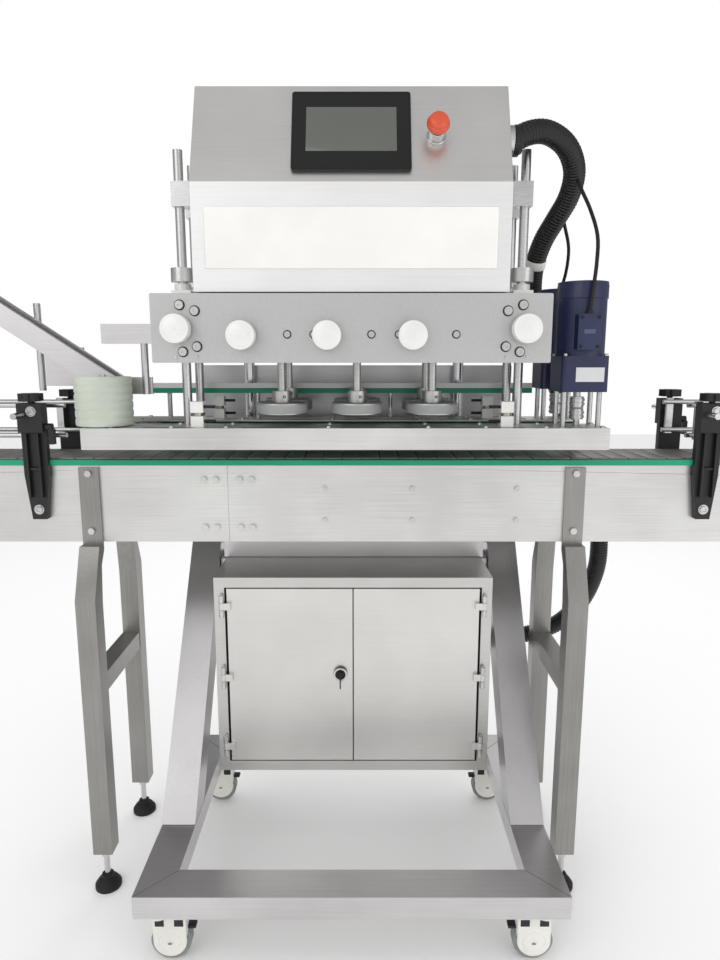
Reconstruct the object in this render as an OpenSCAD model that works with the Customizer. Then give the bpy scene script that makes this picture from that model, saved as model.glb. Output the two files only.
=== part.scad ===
/* [Conveyor] */
// Overall length of the conveyor
conveyor_l = 2000; // [1800:50:2400]
// Width over the conveyor side plates
conveyor_w = 160; // [150:2:180]
// Height of the carrying chain above the floor
chain_z = 921; // [880:5:960]
// Height of the conveyor side plates
plate_h = 160; // [150:5:180]
// Pitch of the table-top chain
chain_pitch = 38.1; // [38.1:0.1:50.8]

/* [Base and cabinet] */
// Width of the base frame
base_w = 800; // [740:10:900]
// Depth of the base frame
base_d = 553; // [520:5:600]
// Distance from the conveyor centreline to the base frame's front face
base_front = 338; // [320:2:360]
// Width of the base and leg tubes
tube_w = 70; // [60:2:76]
// Height of the base tubes
tube_h = 45; // [40:1:60]
// Lean of the support legs back from vertical
leg_lean = 35; // [30:1:38]
// Width of the electrical cabinet
cabinet_w = 602; // [560:2:620]
// Height of the electrical cabinet
cabinet_h = 453; // [400:5:500]

/* [Head] */
// Width of the head's front plate
head_w = 700; // [660:10:760]
// Height of the head's front plate
head_h = 119; // [110:1:130]
// Height of the head's underside above the floor when lowered
head_z = 1109; // [1100:1:1140]
// Travel of the motorised head lift
lift_travel = 140; // [100:10:150]
// Diameter of the two lift columns
column_d = 25; // [20:1:30]
// Width of the control box
box_w = 552; // [520:4:600]
// Backward tilt of the control panel
panel_tilt = 22.4; // [15:0.1:30]

/* [Capping spindles] */
// Distance between neighbouring spindle stations
station_pitch = 148; // [140:2:160]
// Diameter of the capping wheels over the tyre
wheel_d = 100; // [90:2:108]
// Thickness of the capping wheels
wheel_t = 23; // [18:1:28]
// Distance of each spindle row from the conveyor centreline
spindle_y = 70; // [66:1:76]
// Diameter of the spindle shafts
shaft_d = 16; // [12:1:20]
// Travel of an adjustable front spindle towards the conveyor
spread_in = 10; // [4:1:12]

/* [Gripper] */
// Length of the gripper trays
tray_l = 1000; // [960:10:1080]
// Width of each gripper tray
tray_w = 102; // [98:1:106]
// Height of the trays' top face above the floor
tray_z = 987; // [980:1:996]
// Diameter of the gripper belt pulleys
pulley_d = 60; // [50:1:64]
// Side of the gripper gearboxes
gearbox_s = 90; // [80:1:94]

/* [Castors] */
// Overall height of a castor
castor_h = 108; // [100:1:120]
// Diameter of a castor wheel
castor_d = 75; // [70:1:80]

/* [Hidden] */
$fn = 48;

// Clearances
gap = 0.2;
run = 0.05;

// Base, legs and cabinet
base_z = castor_h;
base_top = base_z + tube_h;
base_back = base_d - base_front;
leg_wall = 3;
leg_foot = -143;
leg_x = base_w / 2 - tube_w / 2;
cabinet_z = base_top + 47;
cabinet_top = cabinet_z + cabinet_h;
cabinet_front = -16;
cabinet_back = 300;
sheet = 2;
rim = 23;
door_h = cabinet_h - 2 * rim;
door_z = cabinet_z + rim;
door_t = 18;
hinge_x = cabinet_w / 2 - rim + 6;
hinge_y = cabinet_front - 6;
hinge_zs = [door_z + 40, door_z + door_h / 2, door_z + door_h - 40];
lock_x = -28;
lock_z = door_z + door_h * 0.52;
gland_y = 245;
gland_z = 410;
gland_l = 12;

// Rear housing and lift columns
housing_w = 614;
housing_front = 142;
housing_back = base_front;
housing_top = 930;
housing_wall = 4;
panel_w = 760;
panel_front = 240;
panel_top = head_z - 8;
column_x = 247;
column_y = 215;
column_low = housing_top - lift_travel - 110;
column_stop = 14;
bush_l = 60;
bush_d = column_d + 20;

// Castors
castor_x = base_w / 2 - 38;
castor_front = -base_front + 38;
castor_rear = base_back - 38;
castor_spots = [[-castor_x, castor_front], [castor_x, castor_front],
    [-castor_x, castor_rear], [castor_x, castor_rear]];
castor_trail = 22;
castor_pin_d = 12;
axle_d = 8;
castor_wheel_t = 26;

// Conveyor
plate_t = 3;
plate_top = chain_z - 12;
plate_low = plate_top - plate_h + 1;
half_w = conveyor_w / 2;
half_l = conveyor_l / 2;
sprocket_r = 60;
chain_t = 9;
loop_z = chain_z - chain_t - sprocket_r;
shaft_x = half_l - 80;
end_shaft_d = 25;
leg_xs = [-base_w / 2 - 126, base_w / 2 + 45];
leg_s = 40;
leg_out = 146;
leg_low = 87;
leg_bend = 645;
splice_x = -250;
bracket_xs = [leg_xs[0] - 99, leg_xs[1] + 255];
bar_pitch = (shaft_x - 170) / 3;
rail_z = plate_top + 76;
rail_zs = [rail_z - 20, rail_z + 40];
rail_d = 10;
rail_in = 56;
rod_dx = -12;
cross_z = rail_z + 24;
cross_d = 12;
bracket_d = 26;
bracket_top = rail_z + 46;

// Head
head_front = -211;
head_plate_t = 8;
head_back = 262;
head_top = head_z + head_h;
head_wall = 4;
floor_t = 12;
box_z = head_top + 3;
box_front = -199.5;
box_fold = 1412.6;
box_top = 1588.5;
box_back = 150;
box_wall = 2;
slope_l = (box_top - box_fold) / cos(panel_tilt);
slope_y = box_front + slope_l * sin(panel_tilt);
post_x = 329;
post_y = 55;
post_d = 18;
post_top = 1503;
block_x = 298;
block_y = 104;
station_xs = [9 - station_pitch, 9, 9 + station_pitch];
knob_xs = [-302, station_xs[0] - 51, station_xs[1] - 51, station_xs[2] - 51, 302];
knob_zs = [58, 47, 47, 47, 58];
knob_d = 50;
screw_d = 12;
carriage_y = [-spindle_y - 26, -spindle_y + 26];
wheel_z = 1009;
hub_d = 38;
journal_z = head_z + floor_t + 4;
carriage_h = 36;
pulley_r = 22;

// Gripper
tray_in = 42;
tray_x = -13;
tray_t = 3;
skirt_h = 41;
motor_x = 443;
motor_y = tray_in + pulley_d / 2 + 2;
standoff_h = 66.6;
gearbox_z = tray_z + standoff_h;
gearbox_h = 68;
motor_d = 92;
rail_up = 66;
rail_posts = [-410, station_xs[0] - station_pitch / 2, station_xs[1] + station_pitch / 2, 360];
roller_x = tray_x - tray_l / 2 + 30;
roller_y = -92;
roller_d = 108;
roller_pin_d = 12;

// Cable routes, from the machine's upper end to its lower end
conduit_d = 42;
cable_d = 7;
conduit_route = [[289, -121, 1500], [318, -115, 1515], [352, -101, 1521], [388, -80, 1511],
    [413, -58, 1491], [428, -30, 1464], [428, 5, 1430], [414, 40, 1395], [399, 75, 1358],
    [392, 110, 1310], [400, 145, 1250], [425, 175, 1180], [460, 200, 1100], [500, 215, 1010],
    [535, 215, 920], [568, 205, 830], [590, 196, 745], [600, 195, 665], [595, 202, 590],
    [566, 216, 510], [510, 234, 446], [430, 246, 414], [370, 246, 410], [314, 245, 410]];
front_cable_route = [[428, -40, 1466], [434, -56, 1436], [446, -84, 1390], [454, -108, 1340],
    [450, -124, 1290], [444, -130, 1240], [440, -130, 1198]];
rear_cable_route = [[420, 25, 1412], [438, 52, 1385], [458, 86, 1345], [462, 116, 1295],
    [450, 130, 1245], [440, 130, 1198]];

steel = "#d2d2ce";
brushed = "#a9a8a5";
dark_steel = "#74746e";
plastic = "#2f3133";
green = "#0f9a78";
navy = "#2b3566";
cream = "#e6e6df";

// A box from its low corner to its high corner
module span(low, high) {
    translate(low)
        cube(high - low);
}

// The same shape on both sides of the plane x = 0
module both_x() {
    children();
    mirror([1, 0, 0])
        children();
}

// The same shape on both sides of the plane y = 0
module both_y() {
    children();
    mirror([0, 1, 0])
        children();
}

// A cylinder along the y axis, from y to y + l
module rod_y(d, l) {
    rotate([-90, 0, 0])
        cylinder(d = d, h = l);
}

// A cylinder along the x axis, from x to x + l
module rod_x(d, l) {
    rotate([0, 90, 0])
        cylinder(d = d, h = l);
}

// A hexagon bolt head standing on z = 0
module bolt_head(d) {
    cylinder(d = d * 1.8, h = d * 0.65, $fn = 6);
}

// A button-head socket screw standing on z = 0
module screw_head(d) {
    difference() {
        cylinder(d = d * 1.8, h = d * 0.6);
        translate([0, 0, d * 0.3])
            cylinder(d = d * 0.6, h = d, $fn = 6);
    }
}

// A rectangle with rounded corners, centred
module round_rect(w, h, r) {
    for (turn = [0, 90])
        square(turn == 0 ? [w - 2 * r, h] : [w, h - 2 * r], center = true);
    for (sx = [-1, 1], sy = [-1, 1])
        translate([sx * (w / 2 - r), sy * (h / 2 - r)])
            circle(r = r);
}

// Sweeping a round tube along a list of points
function unit(v) = v / norm(v);
function along(p, i) = unit(p[min(i + 1, len(p) - 1)] - p[max(i - 1, 0)]);
function side(t) = unit(cross(t, abs(t[2]) > 0.95 ? [0, 1, 0] : [0, 0, 1]));
function ring(p, t, r, n) = [for (k = [0:n - 1])
    p + r * cos(360 * k / n) * side(t) + r * sin(360 * k / n) * cross(side(t), t)];
function spline(p, i, u) = let (
    a = p[max(i - 1, 0)],
    b = p[i],
    c = p[i + 1],
    d = p[min(i + 2, len(p) - 1)])
    b + u * (c - a) / 2 + u * u * (a - 2.5 * b + 2 * c - d / 2)
    + u * u * u * (1.5 * (b - c) + (d - a) / 2);
function smooth_route(p, per) = concat(
    [for (i = [0:len(p) - 2], j = [0:per - 1]) spline(p, i, j / per)], [p[len(p) - 1]]);

module tube_along(route, d, n, first, last) {
    count = len(route);
    points = [for (i = [0:count - 1])
        each ring(route[i], i == 0 ? first : i == count - 1 ? last : along(route, i), d / 2, n)];
    walls = [for (i = [0:count - 2], k = [0:n - 1])
        each [[i * n + k, i * n + (k + 1) % n, (i + 1) * n + (k + 1) % n],
            [i * n + k, (i + 1) * n + (k + 1) % n, (i + 1) * n + k]]];
    caps = [[for (k = [n - 1:-1:0]) k], [for (k = [0:n - 1]) (count - 1) * n + k]];
    polyhedron(points = points, faces = concat(walls, caps));
}

// Base: four tubes with mitred corners
module base_side(l) {
    translate([0, 0, base_z])
        linear_extrude(tube_h)
            polygon([[-l / 2 + gap, 0], [l / 2 - gap, 0],
                [l / 2 - tube_w - gap, tube_w], [-l / 2 + tube_w + gap, tube_w]]);
}

module base_frame() {
    mid_y = (base_back - base_front) / 2;
    color(brushed)
        difference() {
            union() {
                translate([0, -base_front, 0])
                    base_side(base_w);
                translate([0, base_back, 0])
                    mirror([0, 1, 0])
                        base_side(base_w);
                both_x()
                    translate([-base_w / 2, mid_y, 0])
                        rotate([0, 0, -90])
                            base_side(base_d);
            }
            for (spot = castor_spots)
                translate([spot[0], spot[1], base_z - 1])
                    cylinder(d = castor_pin_d + 2, h = 21);
        }
}

// Legs: two leaning tubes, a cross beam behind and the brackets to the cabinet
module leg_profile(inset) {
    slant = tan(leg_lean);
    low = base_top + (inset > 0 ? leg_wall : gap);
    foot = leg_foot + inset / cos(leg_lean);
    depth = (tube_w - 2 * inset) / cos(leg_lean);
    top = base_top + (housing_back - tube_w / cos(leg_lean) - leg_foot) / slant - inset;
    polygon([[foot + (low - base_top) * slant, low], [foot + depth + (low - base_top) * slant, low],
        [foot + depth + (top - base_top) * slant, top], [foot + (top - base_top) * slant, top]]);
}

module support_legs() {
    leg_side = leg_x - tube_w / 2;
    color(dark_steel)
        both_x() {
            difference() {
                translate([leg_side, 0, 0])
                    rotate([90, 0, 90])
                        linear_extrude(tube_w)
                            leg_profile(0);
                translate([leg_side + leg_wall, 0, 0])
                    rotate([90, 0, 90])
                        linear_extrude(tube_w - 2 * leg_wall)
                            leg_profile(leg_wall);
            }
            span([cabinet_w / 2 + gap, 205, cabinet_top - 60], [leg_side - gap, 285, cabinet_top - 20]);
            span([housing_w / 2 + gap, 255, cabinet_top + 5], [leg_side - gap, 320, cabinet_top + 45]);
        }
}

// Rear housing: an open-bottomed shell on the cabinet, with two guide bushes
module rear_housing() {
    color(brushed)
        difference() {
            union() {
                difference() {
                    span([-housing_w / 2, housing_front, cabinet_top + gap],
                        [housing_w / 2, housing_back, housing_top]);
                    span([-housing_w / 2 + housing_wall, housing_front + housing_wall, cabinet_top - 1],
                        [housing_w / 2 - housing_wall, housing_back - housing_wall,
                            housing_top - housing_wall]);
                }
                difference() {
                    span([-panel_w / 2, panel_front, housing_top + gap],
                        [panel_w / 2, housing_back, panel_top]);
                    span([-panel_w / 2 + housing_wall, panel_front + housing_wall, housing_top + 3],
                        [panel_w / 2 - housing_wall, housing_back - housing_wall,
                            panel_top - housing_wall]);
                }
                both_x()
                    translate([column_x, column_y, housing_top - bush_l])
                        cylinder(d = bush_d, h = bush_l);
            }
            both_x()
                translate([column_x, column_y, housing_top - bush_l - 1])
                    cylinder(d = column_d + 2 * run, h = bush_l + 2);
        }
}

// Cabinet: a folded shell with a front rim, two doors and louvres in the sides
module electrical_cabinet() {
    half = cabinet_w / 2;
    color(steel)
        difference() {
            span([-half, cabinet_front, cabinet_z], [half, cabinet_back, cabinet_top]);
            span([-half + sheet, cabinet_front + 24, cabinet_z + sheet],
                [half - sheet, cabinet_back - sheet, cabinet_top - sheet]);
            span([-half + rim, cabinet_front - 1, door_z],
                [half - rim, cabinet_front + 25, door_z + door_h]);
            for (s = [-1, 1], k = [0:5])
                span([s * half - 5, 60 + 25 * k, cabinet_z + 60],
                    [s * half + 5, 68 + 25 * k, cabinet_z + 180]);
            translate([half - 5, gland_y, gland_z])
                rod_x(conduit_d - 8, 10);
        }
}

// A conduit gland along the x axis
module gland(l) {
    difference() {
        rod_x(conduit_d + 10, l);
        translate([-1, 0, 0])
            rod_x(conduit_d - 8, l + 2);
    }
}

module hinge_knuckle(low, high) {
    translate([0, 0, low])
        difference() {
            union() {
                cylinder(d = 11, h = high - low);
                translate([-4, 0, 0])
                    cube([8, 6 - gap, high - low]);
            }
            translate([0, 0, -1])
                cylinder(d = 5 + 2 * run, h = high - low + 2);
        }
}

module cabinet_hinges() {
    both_x()
        translate([hinge_x, hinge_y, 0])
            for (z = hinge_zs) {
                hinge_knuckle(z - 24, z - 8.5);
                hinge_knuckle(z + 8.5, z + 24);
                translate([0, 0, z - 27])
                    cylinder(d = 5, h = 54);
            }
}

module cabinet_door(right) {
    mirror([right ? 0 : 1, 0, 0])
        difference() {
            union() {
                span([1, cabinet_front, door_z + 2],
                    [hinge_x - 10, cabinet_front + door_t, door_z + door_h - 2]);
                for (z = hinge_zs)
                    span([hinge_x - 11, hinge_y - 3, z - 8], [hinge_x, hinge_y + 3, z + 8]);
                for (z = hinge_zs)
                    span([hinge_x - 20, hinge_y - 3, z - 8], [hinge_x - 11, cabinet_front + 1, z + 8]);
                for (z = hinge_zs)
                    translate([hinge_x, hinge_y, z - 8])
                        cylinder(d = 11, h = 16);
            }
            span([3, cabinet_front + sheet, door_z + 4],
                [hinge_x - 12, cabinet_front + door_t + 1, door_z + door_h - 4]);
            for (z = hinge_zs)
                translate([hinge_x, hinge_y, z - 9])
                    cylinder(d = 5 + 2 * run, h = 18);
            if (!right)
                translate([-lock_x, cabinet_front - 1, lock_z])
                    rod_y(18 + 2 * run, door_t + 2);
        }
}

module cabinet_door_left() {
    color(steel)
        cabinet_door(false);
}

module cabinet_door_right() {
    color(steel)
        cabinet_door(true);
}

// Lock: a cam behind the left door, hanging down when open, its barrel and the key left in it
module door_lock() {
    color(steel)
        translate([lock_x, cabinet_front, lock_z]) {
            rod_y(18, door_t + 6);
            translate([0, -6, 0])
                rod_y(28, 6 - gap);
            translate([0, -1, 0])
                rod_y(16, 2);
            span([-2.5, -22, -6], [2.5, -5.8, 6]);
            span([-1.2, -25, -26], [1.2, -15, 8]);
            span([-9, door_t + 2, -36], [9, door_t + 5, 9]);
        }
}

// Castors: top plates, swivelling shrouded forks and wheels
module castor_plates() {
    color(green)
        for (spot = castor_spots)
            translate([spot[0], spot[1], 0]) {
                translate([-33, -33, base_z - 4])
                    cube([66, 66, 4 - gap]);
                translate([0, 0, base_z - 24])
                    cylinder(d = castor_pin_d, h = 43);
            }
}

module castor_fork(i) {
    spot = castor_spots[i];
    side_x = spot[0] < 0 ? 1 : -1;
    wheel_x = castor_trail * side_x;
    low = 12;
    cheek = castor_wheel_t / 2 + 1;
    translate([spot[0], spot[1], 0])
        color(cream)
            difference() {
                union() {
                    translate([0, 0, base_z - 26])
                        cylinder(d = 52, h = 26 - 5);
                    translate([wheel_x, cheek + 6, castor_d / 2])
                        rotate([90, 0, 0])
                            cylinder(d = castor_d + 12, h = 2 * cheek + 12);
                    translate([wheel_x, cheek + 6, castor_d / 2])
                        rotate([90, 0, 0])
                            linear_extrude(2 * cheek + 12)
                                translate([-wheel_x - 26, 0])
                                    square([52, base_z - 5 - castor_d / 2]);
                    translate([wheel_x + side_x * 36 - 12, -8, castor_d / 2 + 22])
                        cube([24, 16, 7]);
                }
                translate([wheel_x, cheek, castor_d / 2])
                    rotate([90, 0, 0])
                        cylinder(d = castor_d + 4, h = 2 * cheek);
                span([wheel_x - 60, -60, -10], [wheel_x + 60, 60, low]);
                translate([wheel_x, cheek + 7, castor_d / 2])
                    rotate([90, 0, 0])
                        cylinder(d = axle_d + 2 * run, h = 2 * cheek + 14);
                translate([0, 0, base_z - 25])
                    cylinder(d = castor_pin_d + 2 * run, h = 26);
                for (turn = [35, 145])
                    translate([wheel_x, cheek + 7, castor_d / 2])
                        rotate([90, 0, 0])
                            rotate([0, 0, turn])
                                rotate_extrude(angle = 50)
                                    translate([22, 0])
                                        square([7, 2 * cheek + 14]);
            }
}

module castor_wheel(i) {
    spot = castor_spots[i];
    side_x = spot[0] < 0 ? 1 : -1;
    half_t = castor_wheel_t / 2;
    translate([spot[0] + castor_trail * side_x, spot[1], castor_d / 2])
        color(plastic)
            rotate([90, 0, 0]) {
                rotate_extrude()
                    polygon([[0, -half_t], [castor_d / 2 - 3, -half_t], [castor_d / 2, -half_t + 3],
                        [castor_d / 2, half_t - 3], [castor_d / 2 - 3, half_t], [0, half_t]]);
                translate([0, 0, -half_t - 7])
                    cylinder(d = axle_d, h = 2 * half_t + 14);
            }
}

module castor_fork_1() {
    castor_fork(0);
}

module castor_fork_2() {
    castor_fork(1);
}

module castor_fork_3() {
    castor_fork(2);
}

module castor_fork_4() {
    castor_fork(3);
}

module castor_wheel_1() {
    castor_wheel(0);
}

module castor_wheel_2() {
    castor_wheel(1);
}

module castor_wheel_3() {
    castor_wheel(2);
}

module castor_wheel_4() {
    castor_wheel(3);
}

// Conveyor: side plates in two lengths, cross bars and end bearings
module conveyor_side_plates() {
    color(steel)
        difference() {
            union() {
                both_y() {
                    span([-half_l, half_w - plate_t, plate_low], [half_l, half_w, plate_top]);
                    for (s = [-1, 1])
                        translate([s * shaft_x, half_w - plate_t - 9, loop_z])
                            rod_y(52, 9 + plate_t);
                }
                for (k = [-3:3])
                    translate([k * bar_pitch, -half_w + plate_t - 1, loop_z + 10])
                        rod_y(16, conveyor_w - 2 * plate_t + 2);
            }
            for (s = [-1, 1])
                translate([s * shaft_x, -half_w - 1, loop_z])
                    rod_y(end_shaft_d + 2 * run, conveyor_w + 2);
            for (sx = [-1, 1], dx = [22, 52], z = [plate_low + 30, plate_top - 30])
                translate([sx * (half_l - dx), -half_w - 1, z])
                    rod_y(9, conveyor_w + 2);
            both_y()
                span([splice_x - 0.4, half_w - 0.6, plate_low - 1],
                    [splice_x + 0.4, half_w + 1, plate_top + 1]);
        }
}

module conveyor_wear_strips() {
    color(green)
        both_y()
            difference() {
                span([-half_l + 6, half_w - plate_t - 4, plate_top - 2],
                    [half_l - 6, half_w + 4, plate_top + 9]);
                span([-half_l, half_w - plate_t - gap, plate_top - 6],
                    [half_l, half_w + gap, plate_top + gap]);
            }
}

// Chain: one closed band of slats with its joint lines, over the end sprockets
module chain_loop(r) {
    hull_l = 2 * shaft_x;
    square([hull_l, 2 * r], center = true);
    for (s = [-1, 1])
        translate([s * shaft_x, 0])
            circle(r = r, $fn = 96);
}

module conveyor_chain() {
    slats = floor(2 * shaft_x / chain_pitch);
    width = conveyor_w - 2 * plate_t - 2 * 4 - 2;
    color(steel)
        translate([0, width / 2, loop_z])
            rotate([90, 0, 0])
                difference() {
                    linear_extrude(width)
                        difference() {
                            chain_loop(sprocket_r + chain_t);
                            chain_loop(sprocket_r + 2);
                        }
                    for (k = [0:slats])
                        translate([-shaft_x + 6 + k * chain_pitch, sprocket_r + chain_t - 2, -1])
                            cube([1.2, 3, width + 2]);
                }
}

module sprocket_shaft(x, out) {
    translate([x, 0, loop_z])
        rotate([90, 0, 0]) {
            translate([0, 0, -half_w - out])
                cylinder(d = end_shaft_d, h = conveyor_w + 12 + out);
            for (z = [-28, 16])
                translate([0, 0, z])
                    difference() {
                        cylinder(r = sprocket_r + 1, h = 12);
                        for (k = [0:9])
                            rotate([0, 0, 36 * k + 18])
                                translate([sprocket_r + 1, 0, -1])
                                    cylinder(r = 6, h = 14);
                    }
        }
}

module conveyor_drive_shaft() {
    color(dark_steel)
        sprocket_shaft(shaft_x, 92);
}

module conveyor_idler_shaft() {
    color(dark_steel)
        sprocket_shaft(-shaft_x, 12);
}

// Drive: a worm gearbox on the rear plate with its motor lying along it
module conveyor_gearmotor() {
    color(navy)
        translate([shaft_x, half_w + 6, loop_z]) {
            difference() {
                union() {
                    span([-45, 0, -45], [45, 80, 45]);
                    translate([-45, 40, 0])
                        rotate([0, -90, 0])
                            cylinder(d = 78, h = 10);
                    translate([-54, 40, 0])
                        rotate([0, -90, 0])
                            cylinder(d = 84, h = 110);
                }
                translate([0, -1, 0])
                    rod_y(end_shaft_d + 2 * run, 82);
            }
            for (sx = [-32, 32], sz = [-32, 32])
                translate([sx, -6 + gap, sz])
                    rod_y(10, 6 - 2 * gap);
        }
}

// Conveyor legs: straps on the plates, bent tube legs and a rung between each pair
module leg_path() {
    w = leg_s;
    y_in = half_w + 26;
    polygon([[leg_out, leg_low + 1], [leg_out, leg_bend], [y_in, plate_low - 4],
        [half_w + gap, plate_low - 4], [half_w + gap, plate_low - 16],
        [y_in - w * 0.2, plate_low - 44], [leg_out - w, leg_bend - 14],
        [leg_out - w, leg_low + 1]]);
}

module conveyor_legs() {
    color(dark_steel)
        for (x = leg_xs)
            translate([x, 0, 0]) {
                both_y() {
                    translate([-leg_s / 2, 0, 0])
                        difference() {
                            rotate([90, 0, 90])
                                linear_extrude(leg_s)
                                    leg_path();
                            translate([leg_s / 2, leg_out - leg_s / 2, leg_low])
                                cylinder(d = 12.4, h = 60);
                        }
                    span([-leg_s / 2, half_w + gap, plate_low - 6], [leg_s / 2, half_w + 6, plate_top - 6]);
                }
                span([-leg_s / 2 + 1, -leg_out + leg_s + gap, 440],
                    [leg_s / 2 - 1, leg_out - leg_s - gap, 480]);
            }
}

module levelling_feet() {
    color(plastic)
        for (x = leg_xs)
            both_y()
                translate([x, leg_out - leg_s / 2, 0]) {
                    rotate_extrude()
                        polygon([[0, 0], [27, 0], [27, 8], [20, 18], [12, 24], [12, 30], [0, 30]]);
                    translate([0, 0, 30 + gap])
                        cylinder(d = 12, h = 105);
                    translate([0, 0, leg_low - 12])
                        difference() {
                            cylinder(d = 22, h = 12, $fn = 6);
                            translate([0, 0, -1])
                                cylinder(d = 12 + 2 * gap, h = 14);
                        }
                }
}

// Fittings: the cabinet's hinges and gland, and the bolts of the splice, straps and brackets
module machine_fittings() {
    color(steel)
        translate([cabinet_w / 2 + gap, gland_y, gland_z])
            gland(gland_l);
    color(steel)
        cabinet_hinges();
    color(steel)
        both_y() {
            for (sx = [-1, 1], dx = [24, 48], z = [plate_low + 30, plate_low + 128])
                translate([splice_x + sx * dx, half_w + gap, z])
                    rotate([-90, 0, 0])
                        bolt_head(8);
            for (x = leg_xs, z = [plate_low + 24, plate_top - 18])
                translate([x, half_w + 6 + gap, z])
                    rotate([-90, 0, 0])
                        bolt_head(8);
            for (x = [-56, 120, 330], z = [plate_low + 45, plate_low + 110])
                translate([x, half_w + gap, z])
                    rotate([-90, 0, 0])
                        bolt_head(6);
        }
}

// Side guides: brackets on the side plates, each with a cross rod, a star knob and a lever
module rail_bracket() {
    color(plastic)
        difference() {
            union() {
                translate([0, 14, 0])
                    rotate([90, 0, 0])
                        linear_extrude(14)
                            polygon([[-14, plate_low + 50], [14, plate_low + 50], [24, plate_top - 20],
                                [24, rail_z + 4], [-24, rail_z + 4], [-24, plate_top - 20]]);
                span([-24, 0, rail_z - 10], [24, bracket_d, bracket_top]);
            }
            translate([rod_dx, -1, cross_z])
                rod_y(cross_d + 2 * gap, bracket_d + 2);
            span([-30, -6, plate_top - 20], [30, 4.5, plate_top + 10]);
        }
    color(plastic)
        translate([0, bracket_d / 2, bracket_top + gap]) {
            cylinder(d = 12, h = 5);
            translate([0, 0, 4])
                star_knob();
        }
    color(plastic)
        translate([24 + gap, bracket_d / 2, rail_z]) {
            rod_x(14, 14);
            translate([8, -6, -34])
                cube([9, 12, 30]);
        }
}

module star_knob() {
    difference() {
        cylinder(d = 46, h = 15);
        for (k = [0:5])
            rotate([0, 0, 60 * k])
                translate([27, 0, -1])
                    cylinder(d = 16, h = 17);
    }
}

module guide_rails(x, x0, x1) {
    for (z = rail_zs)
        translate([x0, rail_in, z])
            rod_x(rail_d, x1 - x0);
    span([x + rod_dx - 7, rail_in + rail_d / 2 + gap, rail_zs[0] - 8],
        [x + rod_dx + 7, rail_in + rail_d / 2 + 8, rail_zs[1] + 8]);
    translate([x + rod_dx, rail_in + rail_d / 2 + 8 + gap, cross_z])
        rod_y(cross_d, 75);
}

module side_guides() {
    both_y() {
        for (x = bracket_xs)
            translate([x, half_w + gap, 0])
                rail_bracket();
        color(brushed)
            guide_rails(bracket_xs[0], -half_l + 12, tray_x - tray_l / 2 - 62);
        color(brushed)
            guide_rails(bracket_xs[1], bracket_xs[1] - 30, half_l - 12);
    }
}

// Lift columns under the head
module lift_columns() {
    color("#e8e8e6")
        both_x()
            translate([column_x, column_y, 0]) {
                translate([0, 0, column_low])
                    cylinder(d = column_d, h = head_z - column_low - gap);
                translate([0, 0, column_low])
                    cylinder(d = column_d + 12, h = column_stop);
            }
}

// Head housing: a sheet casing on a thick floor that carries the spindle bearings
module head_housing() {
    half = head_w / 2 - 4;
    front = head_front + head_plate_t + gap;
    inner = head_wall;
    slot_l = shaft_d + 8;
    color(brushed)
        difference() {
            union() {
                difference() {
                    span([-half, front, head_z], [half, head_back, head_top]);
                    span([-half + inner, front + inner, head_z + floor_t],
                        [half - inner, head_back - inner, head_top - inner]);
                }
                for (x = station_xs)
                    translate([x, spindle_y, head_z + floor_t - 1])
                        cylinder(d = 52, h = carriage_h + 5);
            }
            for (x = station_xs) {
                translate([x, spindle_y, head_z - 1])
                    cylinder(d = shaft_d + 2 * run, h = floor_t + carriage_h + 6);
                span([x - slot_l / 2, -spindle_y - slot_l / 2 - 22, head_z - 1],
                    [x + slot_l / 2, -spindle_y + slot_l / 2 + spread_in + 2, head_z + floor_t + 1]);
            }
            for (sx = [-1, 1], sy = [-1, 1])
                translate([sx * post_x, sy * post_y, head_z - 1])
                    cylinder(d = post_d + 2 * gap, h = head_h + 2);
            for (i = [0:4])
                translate([knob_xs[i], front - 1, head_z + knob_zs[i]])
                    rod_y(screw_d + 2, inner + 2);
        }
}

module head_front_plate() {
    color("#b4b4b3")
        translate([0, head_front + head_plate_t, head_z + head_h / 2])
            rotate([90, 0, 0])
                difference() {
                    linear_extrude(head_plate_t)
                        round_rect(head_w, head_h, 3);
                    for (i = [0:4])
                        translate([knob_xs[i], knob_zs[i] - head_h / 2, -1])
                            cylinder(d = screw_d + 2 * run, h = head_plate_t + 2);
                }
    color(steel)
        translate([0, head_front - gap, head_z])
            rotate([90, 0, 0]) {
                for (x = [-112, -66, 35, 83, 183])
                    translate([x, 49, 0])
                        screw_head(6);
                both_x()
                    for (p = [[298, 99], [272, 89], [270, 28], [295, 19]])
                        translate([p[0], p[1], 0])
                            screw_head(8);
                both_x()
                    for (x = [272, 308])
                        translate([x, 10, 0])
                            screw_head(3);
            }
}

// Spindle drive: the motor inside the head and the belt round the rear pulleys
module spindle_drive() {
    color(navy)
        translate([255, 130, head_z + floor_t + gap]) {
            cylinder(d = 88, h = 92);
            translate([0, 0, 91])
                cylinder(d = 60, h = 8);
        }
    color(plastic)
        translate([station_xs[1], spindle_y, journal_z + carriage_h + 8])
            linear_extrude(12)
                difference() {
                    belt_outline(station_pitch, pulley_r + 2.5);
                    belt_outline(station_pitch, pulley_r + 0.5);
                }
}

// Control box: a folded casing with a sloping panel
module box_profile(w) {
    turn = panel_tilt / 2;
    top_turn = (90 - panel_tilt) / 2;
    polygon([[box_front + w, box_z + w], [box_back - w, box_z + w], [box_back - w, box_top - w],
        [slope_y + w * tan(top_turn), box_top - w], [box_front + w, box_fold - w * tan(turn)]]);
}

module on_slope(x, along_slope) {
    translate([x, box_front, box_fold])
        rotate([90 - panel_tilt, 0, 0])
            translate([0, along_slope, 0])
                children();
}

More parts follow.
